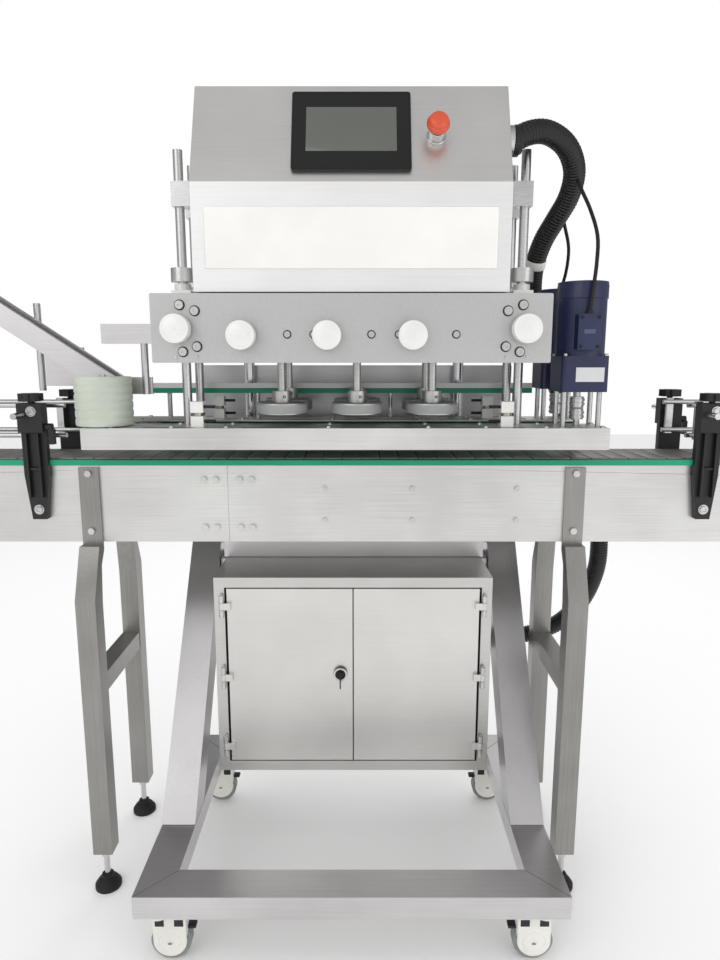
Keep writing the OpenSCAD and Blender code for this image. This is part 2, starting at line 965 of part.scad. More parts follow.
module control_box() {
    color(brushed)
        difference() {
            translate([-box_w / 2, 0, 0])
                rotate([90, 0, 90])
                    linear_extrude(box_w)
                        box_profile(0);
            translate([-box_w / 2 + box_wall, 0, 0])
                rotate([90, 0, 90])
                    linear_extrude(box_w - 2 * box_wall)
                        box_profile(box_wall);
            on_slope(0, slope_l / 2)
                translate([-94, -69, -10])
                    cube([188, 138, 20]);
            on_slope(147, slope_l / 2 - 7)
                translate([0, 0, -10])
                    cylinder(d = 22.4, h = 20);
            translate([box_w / 2 - 5, conduit_route[0][1], conduit_route[0][2]])
                rod_x(conduit_d - 8, 10);
        }
    color(steel)
        translate([box_w / 2 + gap, conduit_route[0][1], conduit_route[0][2]])
            gland(gland_l);
    color(steel)
        on_slope(147, slope_l / 2 - 7)
            stop_collar();
    color("#e4e4da")
        span([-253, box_front - 1.2, 1270], [253, box_front - gap, 1372]);
}

module touch_panel() {
    color(plastic)
        on_slope(0, slope_l / 2) {
            translate([0, 0, gap])
                difference() {
                    linear_extrude(7)
                        round_rect(206, 155, 5);
                    translate([-78.5, -41, 6])
                        cube([157, 88, 2]);
                }
            translate([-92, -67, -40])
                cube([184, 134, 40 + 2 * gap]);
        }
}

// Collar of the stop button: the stem runs in its bore
module stop_collar() {
    difference() {
        union() {
            translate([0, 0, gap])
                cylinder(d = 28, h = 18);
            translate([0, 0, -24])
                cylinder(d = 22, h = 26);
        }
        translate([0, 0, -25])
            cylinder(d = 12 + 2 * run, h = 50);
    }
}

module stop_button() {
    color("#d9512c")
        on_slope(147, slope_l / 2 - 7)
            rotate_extrude()
                polygon([[0, -20], [6, -20], [6, 24], [15, 24], [19.5, 27], [20, 32], [18, 39], [12, 44],
                    [5, 46], [0, 46]]);
}

// Post fittings: gripper posts with flange bushes, collars, top blocks and tray blocks
module post() {
    translate([0, 0, tray_z + gap])
        cylinder(d = post_d, h = post_top - tray_z);
    translate([0, 0, head_top + gap])
        difference() {
            union() {
                translate([-19, -19, 0])
                    cube([38, 38, 18]);
                cylinder(d = 32, h = 30);
                translate([0, 0, 34])
                    cylinder(d = 44, h = 26);
            }
            translate([0, 0, -1])
                cylinder(d = post_d + 2 * gap, h = 70);
        }
    difference() {
        span([-24, -16, 1400], [12, 16, 1445]);
        translate([0, 0, 1399])
            cylinder(d = post_d + 2 * gap, h = 50);
    }
}

module tray_block() {
    translate([-12, -12, 0])
        cube([24, 24, 20]);
    translate([0, 0, 20 + gap])
        cylinder(d = 19, h = 7 - 2 * gap);
    translate([-12, -12, 27])
        cube([24, 24, 21]);
    for (z = [10, 38])
        translate([12 + gap, 4, z])
            rod_x(6, 22);
}

module post_fittings() {
    both_x()
        both_y() {
            color(steel)
                translate([post_x, post_y, 0])
                    post();
            color("#ededeb")
                translate([-block_x, block_y, tray_z + gap])
                    tray_block();
        }
}

// Spindles: shaft, hub and wheel with a separate tyre
module spindle(x, y, top) {
    rim_r = wheel_d / 2 - 7;
    translate([x, y, wheel_z]) {
        cylinder(d = shaft_d, h = top - wheel_z);
        difference() {
            cylinder(r = rim_r - gap, h = wheel_t);
            for (z = [-1, wheel_t - 3])
                translate([0, 0, z])
                    rotate_extrude()
                        translate([hub_d / 2 + 3, 0])
                            square([rim_r - hub_d / 2 - 8, 4]);
        }
        translate([0, 0, wheel_t - 1])
            cylinder(d = hub_d, h = 23);
        rotate_extrude()
            translate([rim_r, 0])
                polygon([[0, 0], [6, 0], [7, 1], [7, wheel_t - 1], [6, wheel_t], [0, wheel_t]]);
        translate([0, 0, journal_z + carriage_h + 4 - wheel_z])
            cylinder(r = pulley_r, h = 22);
    }
}

module front_spindle(i) {
    color("#c9cacc")
        spindle(station_xs[i], -spindle_y, journal_z + carriage_h + 28);
}

module rear_spindle(i) {
    color("#c9cacc")
        spindle(station_xs[i], spindle_y, journal_z + carriage_h + 28);
}

module spindle_carriage(i) {
    x = station_xs[i];
    nut_x = knob_xs[i + 1];
    low = head_z + floor_t + gap;
    nut_top = head_z + knob_zs[i + 1] + 12;
    color(steel)
        difference() {
            union() {
                span([nut_x - 14, carriage_y[0], low], [x + 26, carriage_y[1], journal_z + carriage_h]);
                span([nut_x - 14, -spindle_y - 12, low], [nut_x + 14, -spindle_y + 12, nut_top]);
            }
            translate([x, -spindle_y, low - 1])
                cylinder(d = shaft_d + 2 * run, h = carriage_h + 10);
            translate([nut_x, carriage_y[0] - 1, head_z + knob_zs[i + 1]])
                rod_y(screw_d + 2 * run, carriage_y[1] - carriage_y[0] + 2);
        }
}

module spindle_carriage_1() {
    spindle_carriage(0);
}

module spindle_carriage_2() {
    spindle_carriage(1);
}

module spindle_carriage_3() {
    spindle_carriage(2);
}

module front_spindle_1() {
    front_spindle(0);
}

module front_spindle_2() {
    front_spindle(1);
}

module front_spindle_3() {
    front_spindle(2);
}

module rear_spindle_1() {
    rear_spindle(0);
}

module rear_spindle_2() {
    rear_spindle(1);
}

module rear_spindle_3() {
    rear_spindle(2);
}

// Knobs: a grip with finger grooves behind its rim; the three inner screws drive the carriages
module knob(i) {
    screw_l = i == 0 || i == 4 ? 60 : carriage_y[1] + spread_in - head_front + 6;
    start = head_front - gap;
    color(steel)
        translate([knob_xs[i], start, head_z + knob_zs[i]])
            rotate([90, 0, 0])
                difference() {
                    union() {
                        translate([0, 0, 4])
                            cylinder(d = knob_d, h = 26);
                        translate([0, 0, gap])
                            cylinder(d = 26, h = 5);
                        translate([0, 0, -screw_l])
                            cylinder(d = screw_d, h = screw_l + 5);
                    }
                    for (k = [0:17])
                        rotate([0, 0, 20 * k])
                            translate([knob_d / 2 + 0.8, 0, 6])
                                cylinder(d = 3, h = 18);
                }
}

module knob_1() {
    knob(0);
}

module knob_2() {
    knob(1);
}

module knob_3() {
    knob(2);
}

module knob_4() {
    knob(3);
}

module knob_5() {
    knob(4);
}

// Gripper trays: folded sheets each side of the bottle path, with joining straps
module gripper_trays() {
    x0 = tray_x - tray_l / 2;
    x1 = tray_x + tray_l / 2;
    out = tray_in + tray_w;
    rail_x0 = x0 + 60;
    rail_x1 = motor_x - gearbox_s / 2 - 3;
    rail_y = tray_in + 54;
    color(steel)
        both_y() {
            difference() {
                span([x0, tray_in, tray_z - skirt_h], [x1, out, tray_z]);
                span([x0 + tray_t, tray_in - 1, tray_z - skirt_h - 1],
                    [x1 - tray_t, out - tray_t, tray_z - tray_t]);
                translate([motor_x, motor_y, tray_z - 5])
                    cylinder(d = 16, h = 10);
            }
            for (sx = [-1, 1], sy = [-1, 1])
                translate([motor_x + sx * 34, motor_y + sy * 26, tray_z + gap])
                    cylinder(d = 10, h = standoff_h - 2 * gap);
        }
    color(steel)
        both_y()
            translate([-motor_x, motor_y, tray_z - skirt_h + 2])
                cylinder(d = 12, h = skirt_h - 4);
    color(steel)
        translate([roller_x, roller_y, tray_z + gap])
            cylinder(d = roller_pin_d, h = 99);
    color(steel)
        span([rail_x0, rail_y, tray_z + rail_up], [rail_x1, rail_y + 8, tray_z + rail_up + 11]);
    color(green)
        span([rail_x0, rail_y - 2, tray_z + rail_up - 11], [rail_x1, rail_y + 8, tray_z + rail_up - gap]);
    color(steel)
        for (x = rail_posts)
            translate([x, rail_y + 14, tray_z + gap])
                union() {
                    cylinder(d = 10, h = rail_up + 6);
                    translate([-6, -6 + gap, rail_up + 1])
                        cube([12, 6, 6]);
                }
}

// Gripper belts and their pulleys, hung under the trays
module belt_outline(l, r) {
    square([2 * l, 2 * r], center = true);
    for (s = [-1, 1])
        translate([s * l, 0])
            circle(r = r);
}

module gripper_belts() {
    color(green)
        both_y()
            translate([0, motor_y, tray_z - 34])
                linear_extrude(26)
                    difference() {
                        belt_outline(motor_x, pulley_d / 2 + 2);
                        belt_outline(motor_x, pulley_d / 2);
                    }
}

module pulley(drive) {
    translate([0, 0, tray_z - 36])
        difference() {
            cylinder(d = pulley_d - 2 * gap, h = 30);
            if (!drive)
                translate([0, 0, -1])
                    cylinder(d = 12 + 2 * run, h = 32);
        }
    if (drive) {
        translate([0, 0, tray_z - 7])
            cylinder(d = 12, h = standoff_h + 16);
        translate([0, 0, tray_z + 12])
            cylinder(d = 26, h = 20);
        translate([0, 0, tray_z + 36])
            cylinder(d = 26, h = 20);
    }
}

module drive_pulley_front() {
    color(steel)
        translate([motor_x, -motor_y, 0])
            pulley(true);
}

module drive_pulley_rear() {
    color(steel)
        translate([motor_x, motor_y, 0])
            pulley(true);
}

module idler_pulley_front() {
    color(steel)
        translate([-motor_x, -motor_y, 0])
            pulley(false);
}

module idler_pulley_rear() {
    color(steel)
        translate([-motor_x, motor_y, 0])
            pulley(false);
}

module gripper_gearmotors() {
    color(navy)
        both_y()
            translate([motor_x, motor_y, gearbox_z]) {
                difference() {
                    linear_extrude(gearbox_h)
                        round_rect(gearbox_s, gearbox_s, 10);
                    translate([0, 0, -1])
                        cylinder(d = 12 + 2 * run, h = 16);
                }
                translate([0, 0, gearbox_h - 1])
                    cylinder(d = motor_d, h = 109);
                translate([0, 0, gearbox_h + 107])
                    cylinder(d = motor_d + 2, h = 31);
                span([-24, 30, gearbox_h + 12], [19, 60, gearbox_h + 76]);
            }
}

// Spacing roller: a ribbed roller on a pin at the tray's infeed end
module spacing_roller() {
    ribs = 6;
    rib_pitch = 15.6;
    roller_bore = roller_pin_d / 2 + run;
    color("#c4ccc0")
        translate([roller_x, roller_y, tray_z + 2])
            rotate_extrude()
                polygon(concat([[roller_bore, 0]],
                    [for (k = [0:ribs - 1]) each [[roller_d / 2 - 1.5, k * rib_pitch],
                        [roller_d / 2, k * rib_pitch + 3], [roller_d / 2, k * rib_pitch + 12],
                        [roller_d / 2 - 1.5, k * rib_pitch + 15.2]]],
                    [[roller_bore, ribs * rib_pitch]]));
}

// Cap chute: a channel falling to the spindles, its arm and hanging post
module cap_chute() {
    fall = 33.5;
    color("#b9b9b7") {
        translate([-490, 0, 1062])
            rotate([0, fall, 0])
                difference() {
                    span([-480, -30, -20], [10, 30, 20]);
                    span([-481, -27, -17], [11, 27, 14]);
                    span([-481, -18, 10], [11, 18, 21]);
                }
        span([-520, -36, 1046], [-404, -29.9, 1080]);
        translate([-415, -41, 1046])
            cylinder(d = 14, h = 110);
        span([-496, -52, 1146], [-head_w / 2 + 4 - gap, -30, 1184]);
        span([-647, 29.9, 1060], [-565, 36, 1140]);
        translate([-658, 36, 1050])
            cylinder(d = 14, h = 180);
    }
}

module control_conduit() {
    color(plastic)
        tube_along(smooth_route(conduit_route, 2), conduit_d, 12, [1, 0, 0], [-1, 0, 0]);
}

module motor_cable_front() {
    color(plastic)
        tube_along(smooth_route(front_cable_route, 2), cable_d, 8, [0, 0, -1], [0, 0, -1]);
}

module motor_cable_rear() {
    color(plastic)
        tube_along(smooth_route(rear_cable_route, 2), cable_d, 8, [0, 0, -1], [0, 0, -1]);
}

base_frame();
support_legs();
rear_housing();
electrical_cabinet();
cabinet_door_left();
cabinet_door_right();
door_lock();
castor_plates();
castor_fork_1();
castor_fork_2();
castor_fork_3();
castor_fork_4();
castor_wheel_1();
castor_wheel_2();
castor_wheel_3();
castor_wheel_4();
conveyor_side_plates();
conveyor_wear_strips();
conveyor_chain();
conveyor_legs();
levelling_feet();
conveyor_drive_shaft();
conveyor_idler_shaft();
conveyor_gearmotor();
machine_fittings();
side_guides();
lift_columns();
head_housing();
head_front_plate();
spindle_drive();
control_box();
touch_panel();
stop_button();
post_fittings();
spindle_carriage_1();
spindle_carriage_2();
spindle_carriage_3();
front_spindle_1();
front_spindle_2();
front_spindle_3();
rear_spindle_1();
rear_spindle_2();
rear_spindle_3();
knob_1();
knob_2();
knob_3();
knob_4();
knob_5();
gripper_trays();
gripper_belts();
gripper_gearmotors();
drive_pulley_front();
drive_pulley_rear();
idler_pulley_front();
idler_pulley_rear();
spacing_roller();
cap_chute();
control_conduit();
motor_cable_front();
motor_cable_rear();
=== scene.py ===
import bpy
import bmesh
import math
from mathutils import Matrix, Vector


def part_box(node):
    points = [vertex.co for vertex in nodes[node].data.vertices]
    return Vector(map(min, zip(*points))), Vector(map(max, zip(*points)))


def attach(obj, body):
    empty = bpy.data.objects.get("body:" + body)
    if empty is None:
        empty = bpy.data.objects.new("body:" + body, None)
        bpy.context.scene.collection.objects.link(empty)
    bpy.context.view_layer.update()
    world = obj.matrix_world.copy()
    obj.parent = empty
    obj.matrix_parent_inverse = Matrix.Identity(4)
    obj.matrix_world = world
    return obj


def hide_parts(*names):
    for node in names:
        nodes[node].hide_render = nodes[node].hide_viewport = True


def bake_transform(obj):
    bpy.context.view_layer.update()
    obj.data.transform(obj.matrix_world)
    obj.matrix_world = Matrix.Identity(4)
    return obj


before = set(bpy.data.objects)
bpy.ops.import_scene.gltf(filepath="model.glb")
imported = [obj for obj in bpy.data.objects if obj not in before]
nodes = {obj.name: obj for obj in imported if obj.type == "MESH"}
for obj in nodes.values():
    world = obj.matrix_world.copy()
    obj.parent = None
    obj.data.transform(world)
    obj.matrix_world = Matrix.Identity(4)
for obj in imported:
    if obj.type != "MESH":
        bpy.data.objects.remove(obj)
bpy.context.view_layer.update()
print("loaded", len(nodes), "nodes")


# ---- camera: stands in front of the machine at chest height, tilted a little down
view = {"place": (0.015, -1.441, 1.114), "tiltDown": 9.87, "lens": 25.87}
camera = bpy.data.objects.new("camera", bpy.data.cameras.new("camera"))
camera.location = view["place"]
camera.rotation_euler = (math.radians(90 - view["tiltDown"]), 0, 0)
camera.data.lens = view["lens"]
camera.data.sensor_width = 36
camera.data.clip_start = 0.05
bpy.context.scene.collection.objects.link(camera)
bpy.context.scene.camera = camera
print("camera set")


# ---- small helpers
def toLinear(hexText):
    shades = [int(hexText[i:i + 2], 16) / 255 for i in (1, 3, 5)]
    return [s / 12.92 if s <= 0.04045 else ((s + 0.055) / 1.055) ** 2.4 for s in shades] + [1.0]


def addNode(tree, kind, settings=None, links=None):
    node = tree.nodes.new(kind)
    for name, value in (settings or {}).items():
        if isinstance(name, int) or name in node.inputs:
            node.inputs[name].default_value = value
        else:
            setattr(node, name, value)
    for name, socket in (links or {}).items():
        tree.links.new(socket, node.inputs[name])
    return node


def finishPiece(name, bm, body, materials, smooth=35, replaced=()):
    bmesh.ops.remove_doubles(bm, verts=bm.verts, dist=1e-6)
    bmesh.ops.recalc_face_normals(bm, faces=bm.faces)
    mesh = bpy.data.meshes.new(name)
    bm.to_mesh(mesh)
    bm.free()
    for material in materials if isinstance(materials, (list, tuple)) else [materials]:
        mesh.materials.append(material)
    piece = bpy.data.objects.new(name, mesh)
    bpy.context.scene.collection.objects.link(piece)
    if smooth:
        mesh.polygons.foreach_set("use_smooth", [True] * len(mesh.polygons))
        mesh.set_sharp_from_angle(angle=math.radians(smooth))
    if body:
        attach(piece, body)
    if replaced:
        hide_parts(*replaced)
    return piece


def place(x=0, y=0, z=0, turn=None):
    spot = Matrix.Translation((x, y, z))
    return spot @ turn if turn else spot


def addBox(bm, low, high, bevel=0.0, index=0, segments=2):
    low, high = Vector(low), Vector(high)
    made = bmesh.ops.create_cube(bm, size=1)["verts"]
    bmesh.ops.scale(bm, vec=high - low, verts=made)
    bmesh.ops.translate(bm, vec=(high + low) / 2, verts=made)
    faces = list({f for v in made for f in v.link_faces})
    for face in faces:
        face.material_index = index
    if bevel:
        edges = list({e for v in made for e in v.link_edges})
        made = bmesh.ops.bevel(bm, geom=edges, offset=bevel, segments=segments, profile=0.5,
                               affect="EDGES", material=-1, clamp_overlap=True)["faces"]
        faces = made
    return faces


def addRound(bm, outline, matrix, steps=48, index=0):
    # outline is (radius, height) pairs, spun about the local z axis; the tag tells older parts from this one
    for vert in bm.verts:
        vert.tag = True
    verts = [bm.verts.new((r, 0, h)) for r, h in outline]
    edges = [bm.edges.new(pair) for pair in zip(verts, verts[1:])]
    bmesh.ops.spin(bm, geom=verts + edges, cent=(0, 0, 0), axis=(0, 0, 1), dvec=(0, 0, 0),
                   angle=math.tau, steps=steps, use_merge=True, use_duplicate=False)
    bmesh.ops.remove_doubles(bm, verts=[v for v in bm.verts if not v.tag], dist=1e-7)
    made = [v for v in bm.verts if not v.tag]
    for face in {f for v in made for f in v.link_faces}:
        face.material_index = index
    bmesh.ops.transform(bm, matrix=matrix, verts=made)
    return made


faceFront = Matrix.Rotation(math.radians(90), 4, "X")  # local z points at the operator
alongX = Matrix.Rotation(math.radians(90), 4, "Y")
print("helpers ready")


# ---- materials
def surface(name, look):
    material = bpy.data.materials.new(name)
    material.use_nodes = True
    tree = material.node_tree
    tree.nodes.clear()
    shader = addNode(tree, "ShaderNodeBsdfPrincipled", look)
    addNode(tree, "ShaderNodeOutputMaterial", links={"Surface": shader.outputs[0]})
    return material, tree, shader


def brushedMetal(name, tint, shadow, roughness, across=(6, 900, 900), depth=0.03, metallic=1.0, blotch=0.5):
    # sheet with a fine directional grain; the grain is drawn about 1 mm wide so that it shows
    material, tree, shader = surface(name, {"Metallic": metallic})
    where = addNode(tree, "ShaderNodeTexCoord")
    stretched = addNode(tree, "ShaderNodeMapping", {"Scale": across}, {"Vector": where.outputs["Object"]})
    grain = addNode(tree, "ShaderNodeTexNoise", {"Scale": 1.0, "Detail": 4.0, "Roughness": 0.6},
                    {"Vector": stretched.outputs[0]})
    cloud = addNode(tree, "ShaderNodeTexNoise", {"Scale": 5.0, "Detail": 3.0, "Roughness": 0.5},
                    {"Vector": where.outputs["Object"]})
    blend = addNode(tree, "ShaderNodeMath", {"operation": "MULTIPLY_ADD", 1: blotch, 2: 0.0},
                    {0: cloud.outputs[0]})
    share = addNode(tree, "ShaderNodeMath", {"operation": "MULTIPLY_ADD", 1: 1 - blotch},
                    {0: grain.outputs[0], 2: blend.outputs[0]})
    tone = addNode(tree, "ShaderNodeValToRGB", links={"Fac": share.outputs[0]})
    tone.color_ramp.elements[0].position = 0.36
    tone.color_ramp.elements[0].color = toLinear(shadow)
    tone.color_ramp.elements[1].position = 0.64
    tone.color_ramp.elements[1].color = toLinear(tint)
    tree.links.new(tone.outputs[0], shader.inputs["Base Color"])
    rough = addNode(tree, "ShaderNodeMapRange", {"To Min": roughness * 0.8, "To Max": roughness * 1.25},
                    {"Value": share.outputs[0]})
    tree.links.new(rough.outputs[0], shader.inputs["Roughness"])
    bump = addNode(tree, "ShaderNodeBump", {"Strength": depth, "Distance": 0.0005},
                   {"Height": grain.outputs[0]})
    tree.links.new(bump.outputs[0], shader.inputs["Normal"])
    return material


def moulded(name, tint, roughness, speckle=0.06, scale=420, metallic=0.0, bump=0.08, coat=0.0, ior=1.5):
    # plastic, rubber or paint: a close speckle in the gloss and a faint orange peel
    material, tree, shader = surface(name, {"Metallic": metallic, "IOR": ior, "Coat Weight": coat})
    where = addNode(tree, "ShaderNodeTexCoord")
    fine = addNode(tree, "ShaderNodeTexNoise", {"Scale": scale, "Detail": 3.0},
                   {"Vector": where.outputs["Object"]})
    wide = addNode(tree, "ShaderNodeTexNoise", {"Scale": 9.0, "Detail": 4.0},
                   {"Vector": where.outputs["Object"]})
    tone = addNode(tree, "ShaderNodeValToRGB", links={"Fac": wide.outputs[0]})
    base = toLinear(tint)
    tone.color_ramp.elements[0].position = 0.3
    tone.color_ramp.elements[0].color = [c * (1 - speckle * 2) for c in base[:3]] + [1]
    tone.color_ramp.elements[1].position = 0.7
    tone.color_ramp.elements[1].color = [min(1, c * (1 + speckle)) for c in base[:3]] + [1]
    tree.links.new(tone.outputs[0], shader.inputs["Base Color"])
    rough = addNode(tree, "ShaderNodeMapRange", {"To Min": roughness * 0.85, "To Max": roughness * 1.2},
                    {"Value": fine.outputs[0]})
    tree.links.new(rough.outputs[0], shader.inputs["Roughness"])
    peel = addNode(tree, "ShaderNodeBump", {"Strength": bump, "Distance": 0.0004},
                   {"Height": fine.outputs[0]})
    tree.links.new(peel.outputs[0], shader.inputs["Normal"])
    return material


stainlessX = brushedMetal("stainlessBrushedAlong", "#dcdadb", "#c8c6c7", 0.34)
doorSheet = brushedMetal("stainlessDoorSheet", "#e0dfdc", "#d3d2cf", 0.34, depth=0.015, blotch=0.7)
cabinetSheet = brushedMetal("stainlessCabinetSheet", "#d2d1ce", "#c2c1be", 0.32, depth=0.02, blotch=0.6)
# lighter copy of the box sheet for the control box's vertical front face: painted light, so the front reads
# brighter than the slope
boxFrontPaintedLight = brushedMetal("stainlessBoxFrontPaintedLight", "#f4f3f3", "#e9e8e8", 0.42, metallic=0.8)
stainlessSlope = brushedMetal("stainlessPanelGrain", "#e8e7e5", "#dbdad8", 0.36, depth=0.02, blotch=0.6)
darkTube = brushedMetal("stainlessTubeSatin", "#a3a19e", "#8b8986", 0.36, across=(700, 700, 6))
legTube = brushedMetal("stainlessLegSatin", "#cfcdce", "#b9b7b8", 0.32, across=(700, 700, 6))
trayStainless = brushedMetal("trayStainlessGround", "#e2e1df", "#c6c5c3", 0.36, blotch=0.65)
railAluminium = brushedMetal("railAluminiumBright", "#f3f0ef", "#e8e5e4", 0.45, metallic=0.2)
spindleSilver = brushedMetal("spindleAluminiumTurned", "#c9c9c7", "#b0b0ae", 0.3, across=(60, 60, 700))
conveyorSheet = brushedMetal("stainlessSheetMill", "#e2e2df", "#c9c7c7", 0.4)
plateAluminium = brushedMetal("anodisedAluminiumPlate", "#c4c3c3", "#bdbcbc", 0.48, across=(240, 240, 240),
                              depth=0.02, metallic=0.75, blotch=0.3)
knobAluminium = brushedMetal("turnedAluminiumKnob", "#eeeeec", "#e6e6e4", 0.42, across=(500, 500, 500),
                             depth=0.01, metallic=0.4, blotch=0.3)
boltSteel = brushedMetal("boltHeadStainless", "#9a9997", "#7c7b79", 0.3, across=(700, 700, 700))
machined = brushedMetal("machinedSteelTurned", "#d8d8d8", "#bdbdbd", 0.24, across=(60, 60, 900))
chromed = brushedMetal("hardChromeRod", "#e6e6e8", "#d8d8da", 0.12, across=(60, 60, 500), depth=0.01)
chainSteel = brushedMetal("chainSlatSteel", "#a3a09d", "#8f8c89", 0.46, across=(700, 8, 700), metallic=0.8)
navyPaint = moulded("navyHammerPaint", "#182048", 0.38, coat=0.2, bump=0.12, scale=260)
navyLid = moulded("navyPlasticLid", "#232b4e", 0.5, bump=0.15, scale=600)
greenPlastic = moulded("greenSlidePlastic", "#0f9a78", 0.42)
wheelRubber = moulded("greyWheelRubber", "#9da09f", 0.6, bump=0.2, scale=800)
spiderGrey = moulded("greyCouplingSpider", "#8d8d8a", 0.5)
greenZinc = moulded("greenCastorPaint", "#1c9c7c", 0.35, coat=0.2)
blackPlastic = moulded("blackNylonMoulding", "#131415", 0.45, bump=0.18, scale=900)
blackRubber = moulded("blackRubber", "#121314", 0.62, bump=0.2, scale=700)
hosePlastic = moulded("blackConduitNylon", "#0e0f10", 0.38, bump=0.05)
tyreRubber = moulded("greyTyreRubber", "#8a8d8c", 0.66, bump=0.25, scale=800)
creamPlastic = moulded("creamCastorShroud", "#e9e8e1", 0.34, bump=0.05)
whitePom = moulded("whitePomBlock", "#f0f0ec", 0.4, bump=0.05)
plateWhite = moulded("namePlateOffWhite", "#eeede9", 0.3, speckle=0.03, bump=0.02)
stopRed = moulded("stopButtonOrangeRed", "#d9512c", 0.3, coat=0.4, bump=0.02)
bezelBlack = moulded("panelBezelBlack", "#07080a", 0.36, bump=0.03)
screenGrey = moulded("panelScreenGlass", "#5c5e58", 0.16, speckle=0.02, bump=0.0, coat=0.6)
# near-black for the panel ridge and the dots on the wheel hubs, and painted shade in the counterbore rings
# and the tray slots
darkTrimAndPaintedShade = moulded("darkGasketAndPaintedShade", "#0d0d0e", 0.7)
clearRoller = moulded("milkyUrethaneRoller", "#c3cbbd", 0.32, speckle=0.05, coat=0.3)
weldSeam = moulded("groundWeldSeam", "#6f6d69", 0.45, metallic=0.6)
lidLabel = moulded("lidBlankLabel", "#4b5167", 0.4)
labelSilver = moulded("blankRatingPlate", "#d5d6d8", 0.35, bump=0.02)
brassKnurl = brushedMetal("nickelKnurl", "#c9c4b8", "#9a958a", 0.3, across=(300, 300, 300))
print("materials made")


# ---- cords first: the conduit and the two motor cables
conduit = {
    "diameter": 0.042,
    "length": 1.565,
    "pitch": 0.0065,
    "ridge": 0.0016,
    "route": [(289, -121, 1500), (318, -115, 1515), (352, -101, 1521), (388, -80, 1511), (413, -58, 1491),
              (428, -30, 1464), (428, 5, 1430), (414, 40, 1395), (399, 75, 1358), (392, 110, 1310),
              (400, 145, 1250), (425, 175, 1180), (460, 200, 1100), (500, 215, 1010), (535, 215, 920),
              (568, 205, 830), (590, 196, 745), (600, 195, 665), (595, 202, 590), (566, 216, 510),
              (510, 234, 446), (430, 246, 414), (370, 246, 410), (314, 245, 410)],
}
cables = {
    "motorCableFront": [(428, -40, 1466), (434, -56, 1436), (446, -84, 1390), (454, -108, 1340),
                        (450, -124, 1290), (444, -130, 1240), (440, -130, 1198)],
    "motorCableRear": [(420, 25, 1412), (438, 52, 1385), (458, 86, 1345), (462, 116, 1295),
                       (450, 130, 1245), (440, 130, 1198)],
}


def smoothLine(route, step):
    points = [Vector(p) / 1000 for p in route]
    fine = []
    for i in range(len(points) - 1):
        a, b, c, d = points[max(i - 1, 0)], points[i], points[i + 1], points[min(i + 2, len(points) - 1)]
        for k in range(24):
            u = k / 24
            fine.append(b + u * (c - a) / 2 + u * u * (a - 2.5 * b + 2 * c - d / 2)
                        + u ** 3 * (1.5 * (b - c) + (d - a) / 2))
    fine.append(points[-1])
    line = [fine[0]]
    walked = 0.0
    for a, b in zip(fine, fine[1:]):
        length = (b - a).length
        while walked + length >= step:
            a = a + (b - a) * ((step - walked) / length)
            length = (b - a).length
            walked = 0.0
            line.append(a)
        walked += length
    line.append(fine[-1])
    return line


conduitLine = smoothLine(conduit["route"], conduit["pitch"] / 4)
conduitMesh = bmesh.new()
lastRing = None
for i, point in enumerate(conduitLine):
    ahead = (conduitLine[min(i + 1, len(conduitLine) - 1)] - conduitLine[max(i - 1, 0)]).normalized()
    radius = conduit["diameter"] / 2 - (0 if i % 4 in (0, 1) else conduit["ridge"])
    turn = ahead.to_track_quat("Z", "Y").to_matrix().to_4x4()
    ring = bmesh.ops.create_circle(conduitMesh, segments=20, radius=radius,
                                   matrix=Matrix.Translation(point) @ turn)["verts"]
    edges = list({e for v in ring for e in v.link_edges})
    if lastRing:
        bmesh.ops.bridge_loops(conduitMesh, edges=lastRing + edges)
    lastRing = edges
conduitPiece = finishPiece("controlConduit", conduitMesh, None, hosePlastic, smooth=60,
                           replaced=["control_conduit"])
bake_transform(conduitPiece)
for name, route in cables.items():
    curve = bpy.data.curves.new(name, "CURVE")
    curve.dimensions = "3D"
    curve.bevel_depth = 0.0035
    curve.bevel_resolution = 4
    line = smoothLine(route, 0.012)
    spline = curve.splines.new("POLY")
    spline.points.add(len(line) - 1)
    for point, spot in zip(spline.points, line):
        point.co = (*spot, 1)
    curve.use_fill_caps = True
    curve.materials.append(blackRubber)
    cable = bpy.data.objects.new(name, curve)
    bpy.context.scene.collection.objects.link(cable)
    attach(cable, "head")
    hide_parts("motor_cable_front" if "Front" in name else "motor_cable_rear")
print("cords laid", round(sum((b - a).length for a, b in zip(conduitLine, conduitLine[1:])), 3))


# ---- the CAD parts: soft edges and their finish, chosen for each loose part where a node has several
edges = {"default": 0.0008, "sheet": 0.0018, "tube": 0.003}


def islandsOf(mesh):
    # faces that share a place belong together; the mesh is loose triangles
    parent = {}

    def find(k):
        while parent[k] != k:
            parent[k] = parent[parent[k]]
            k = parent[k]
        return k

    keys = [tuple(round(c, 5) for c in v.co) for v in mesh.vertices]
    for k in keys:
        parent.setdefault(k, k)
    for polygon in mesh.polygons:
        first = find(keys[polygon.vertices[0]])
        for v in polygon.vertices[1:]:
            parent[find(keys[v])] = first
    groups = {}
    for polygon in mesh.polygons:
        groups.setdefault(find(keys[polygon.vertices[0]]), []).append(polygon)
    found = []
    for polygons in groups.values():
        spots = [mesh.vertices[v].co for p in polygons for v in p.vertices]
        low = Vector([min(s[k] for s in spots) for k in range(3)])
        high = Vector([max(s[k] for s in spots) for k in range(3)])
        found.append((polygons, low, high))
    return found


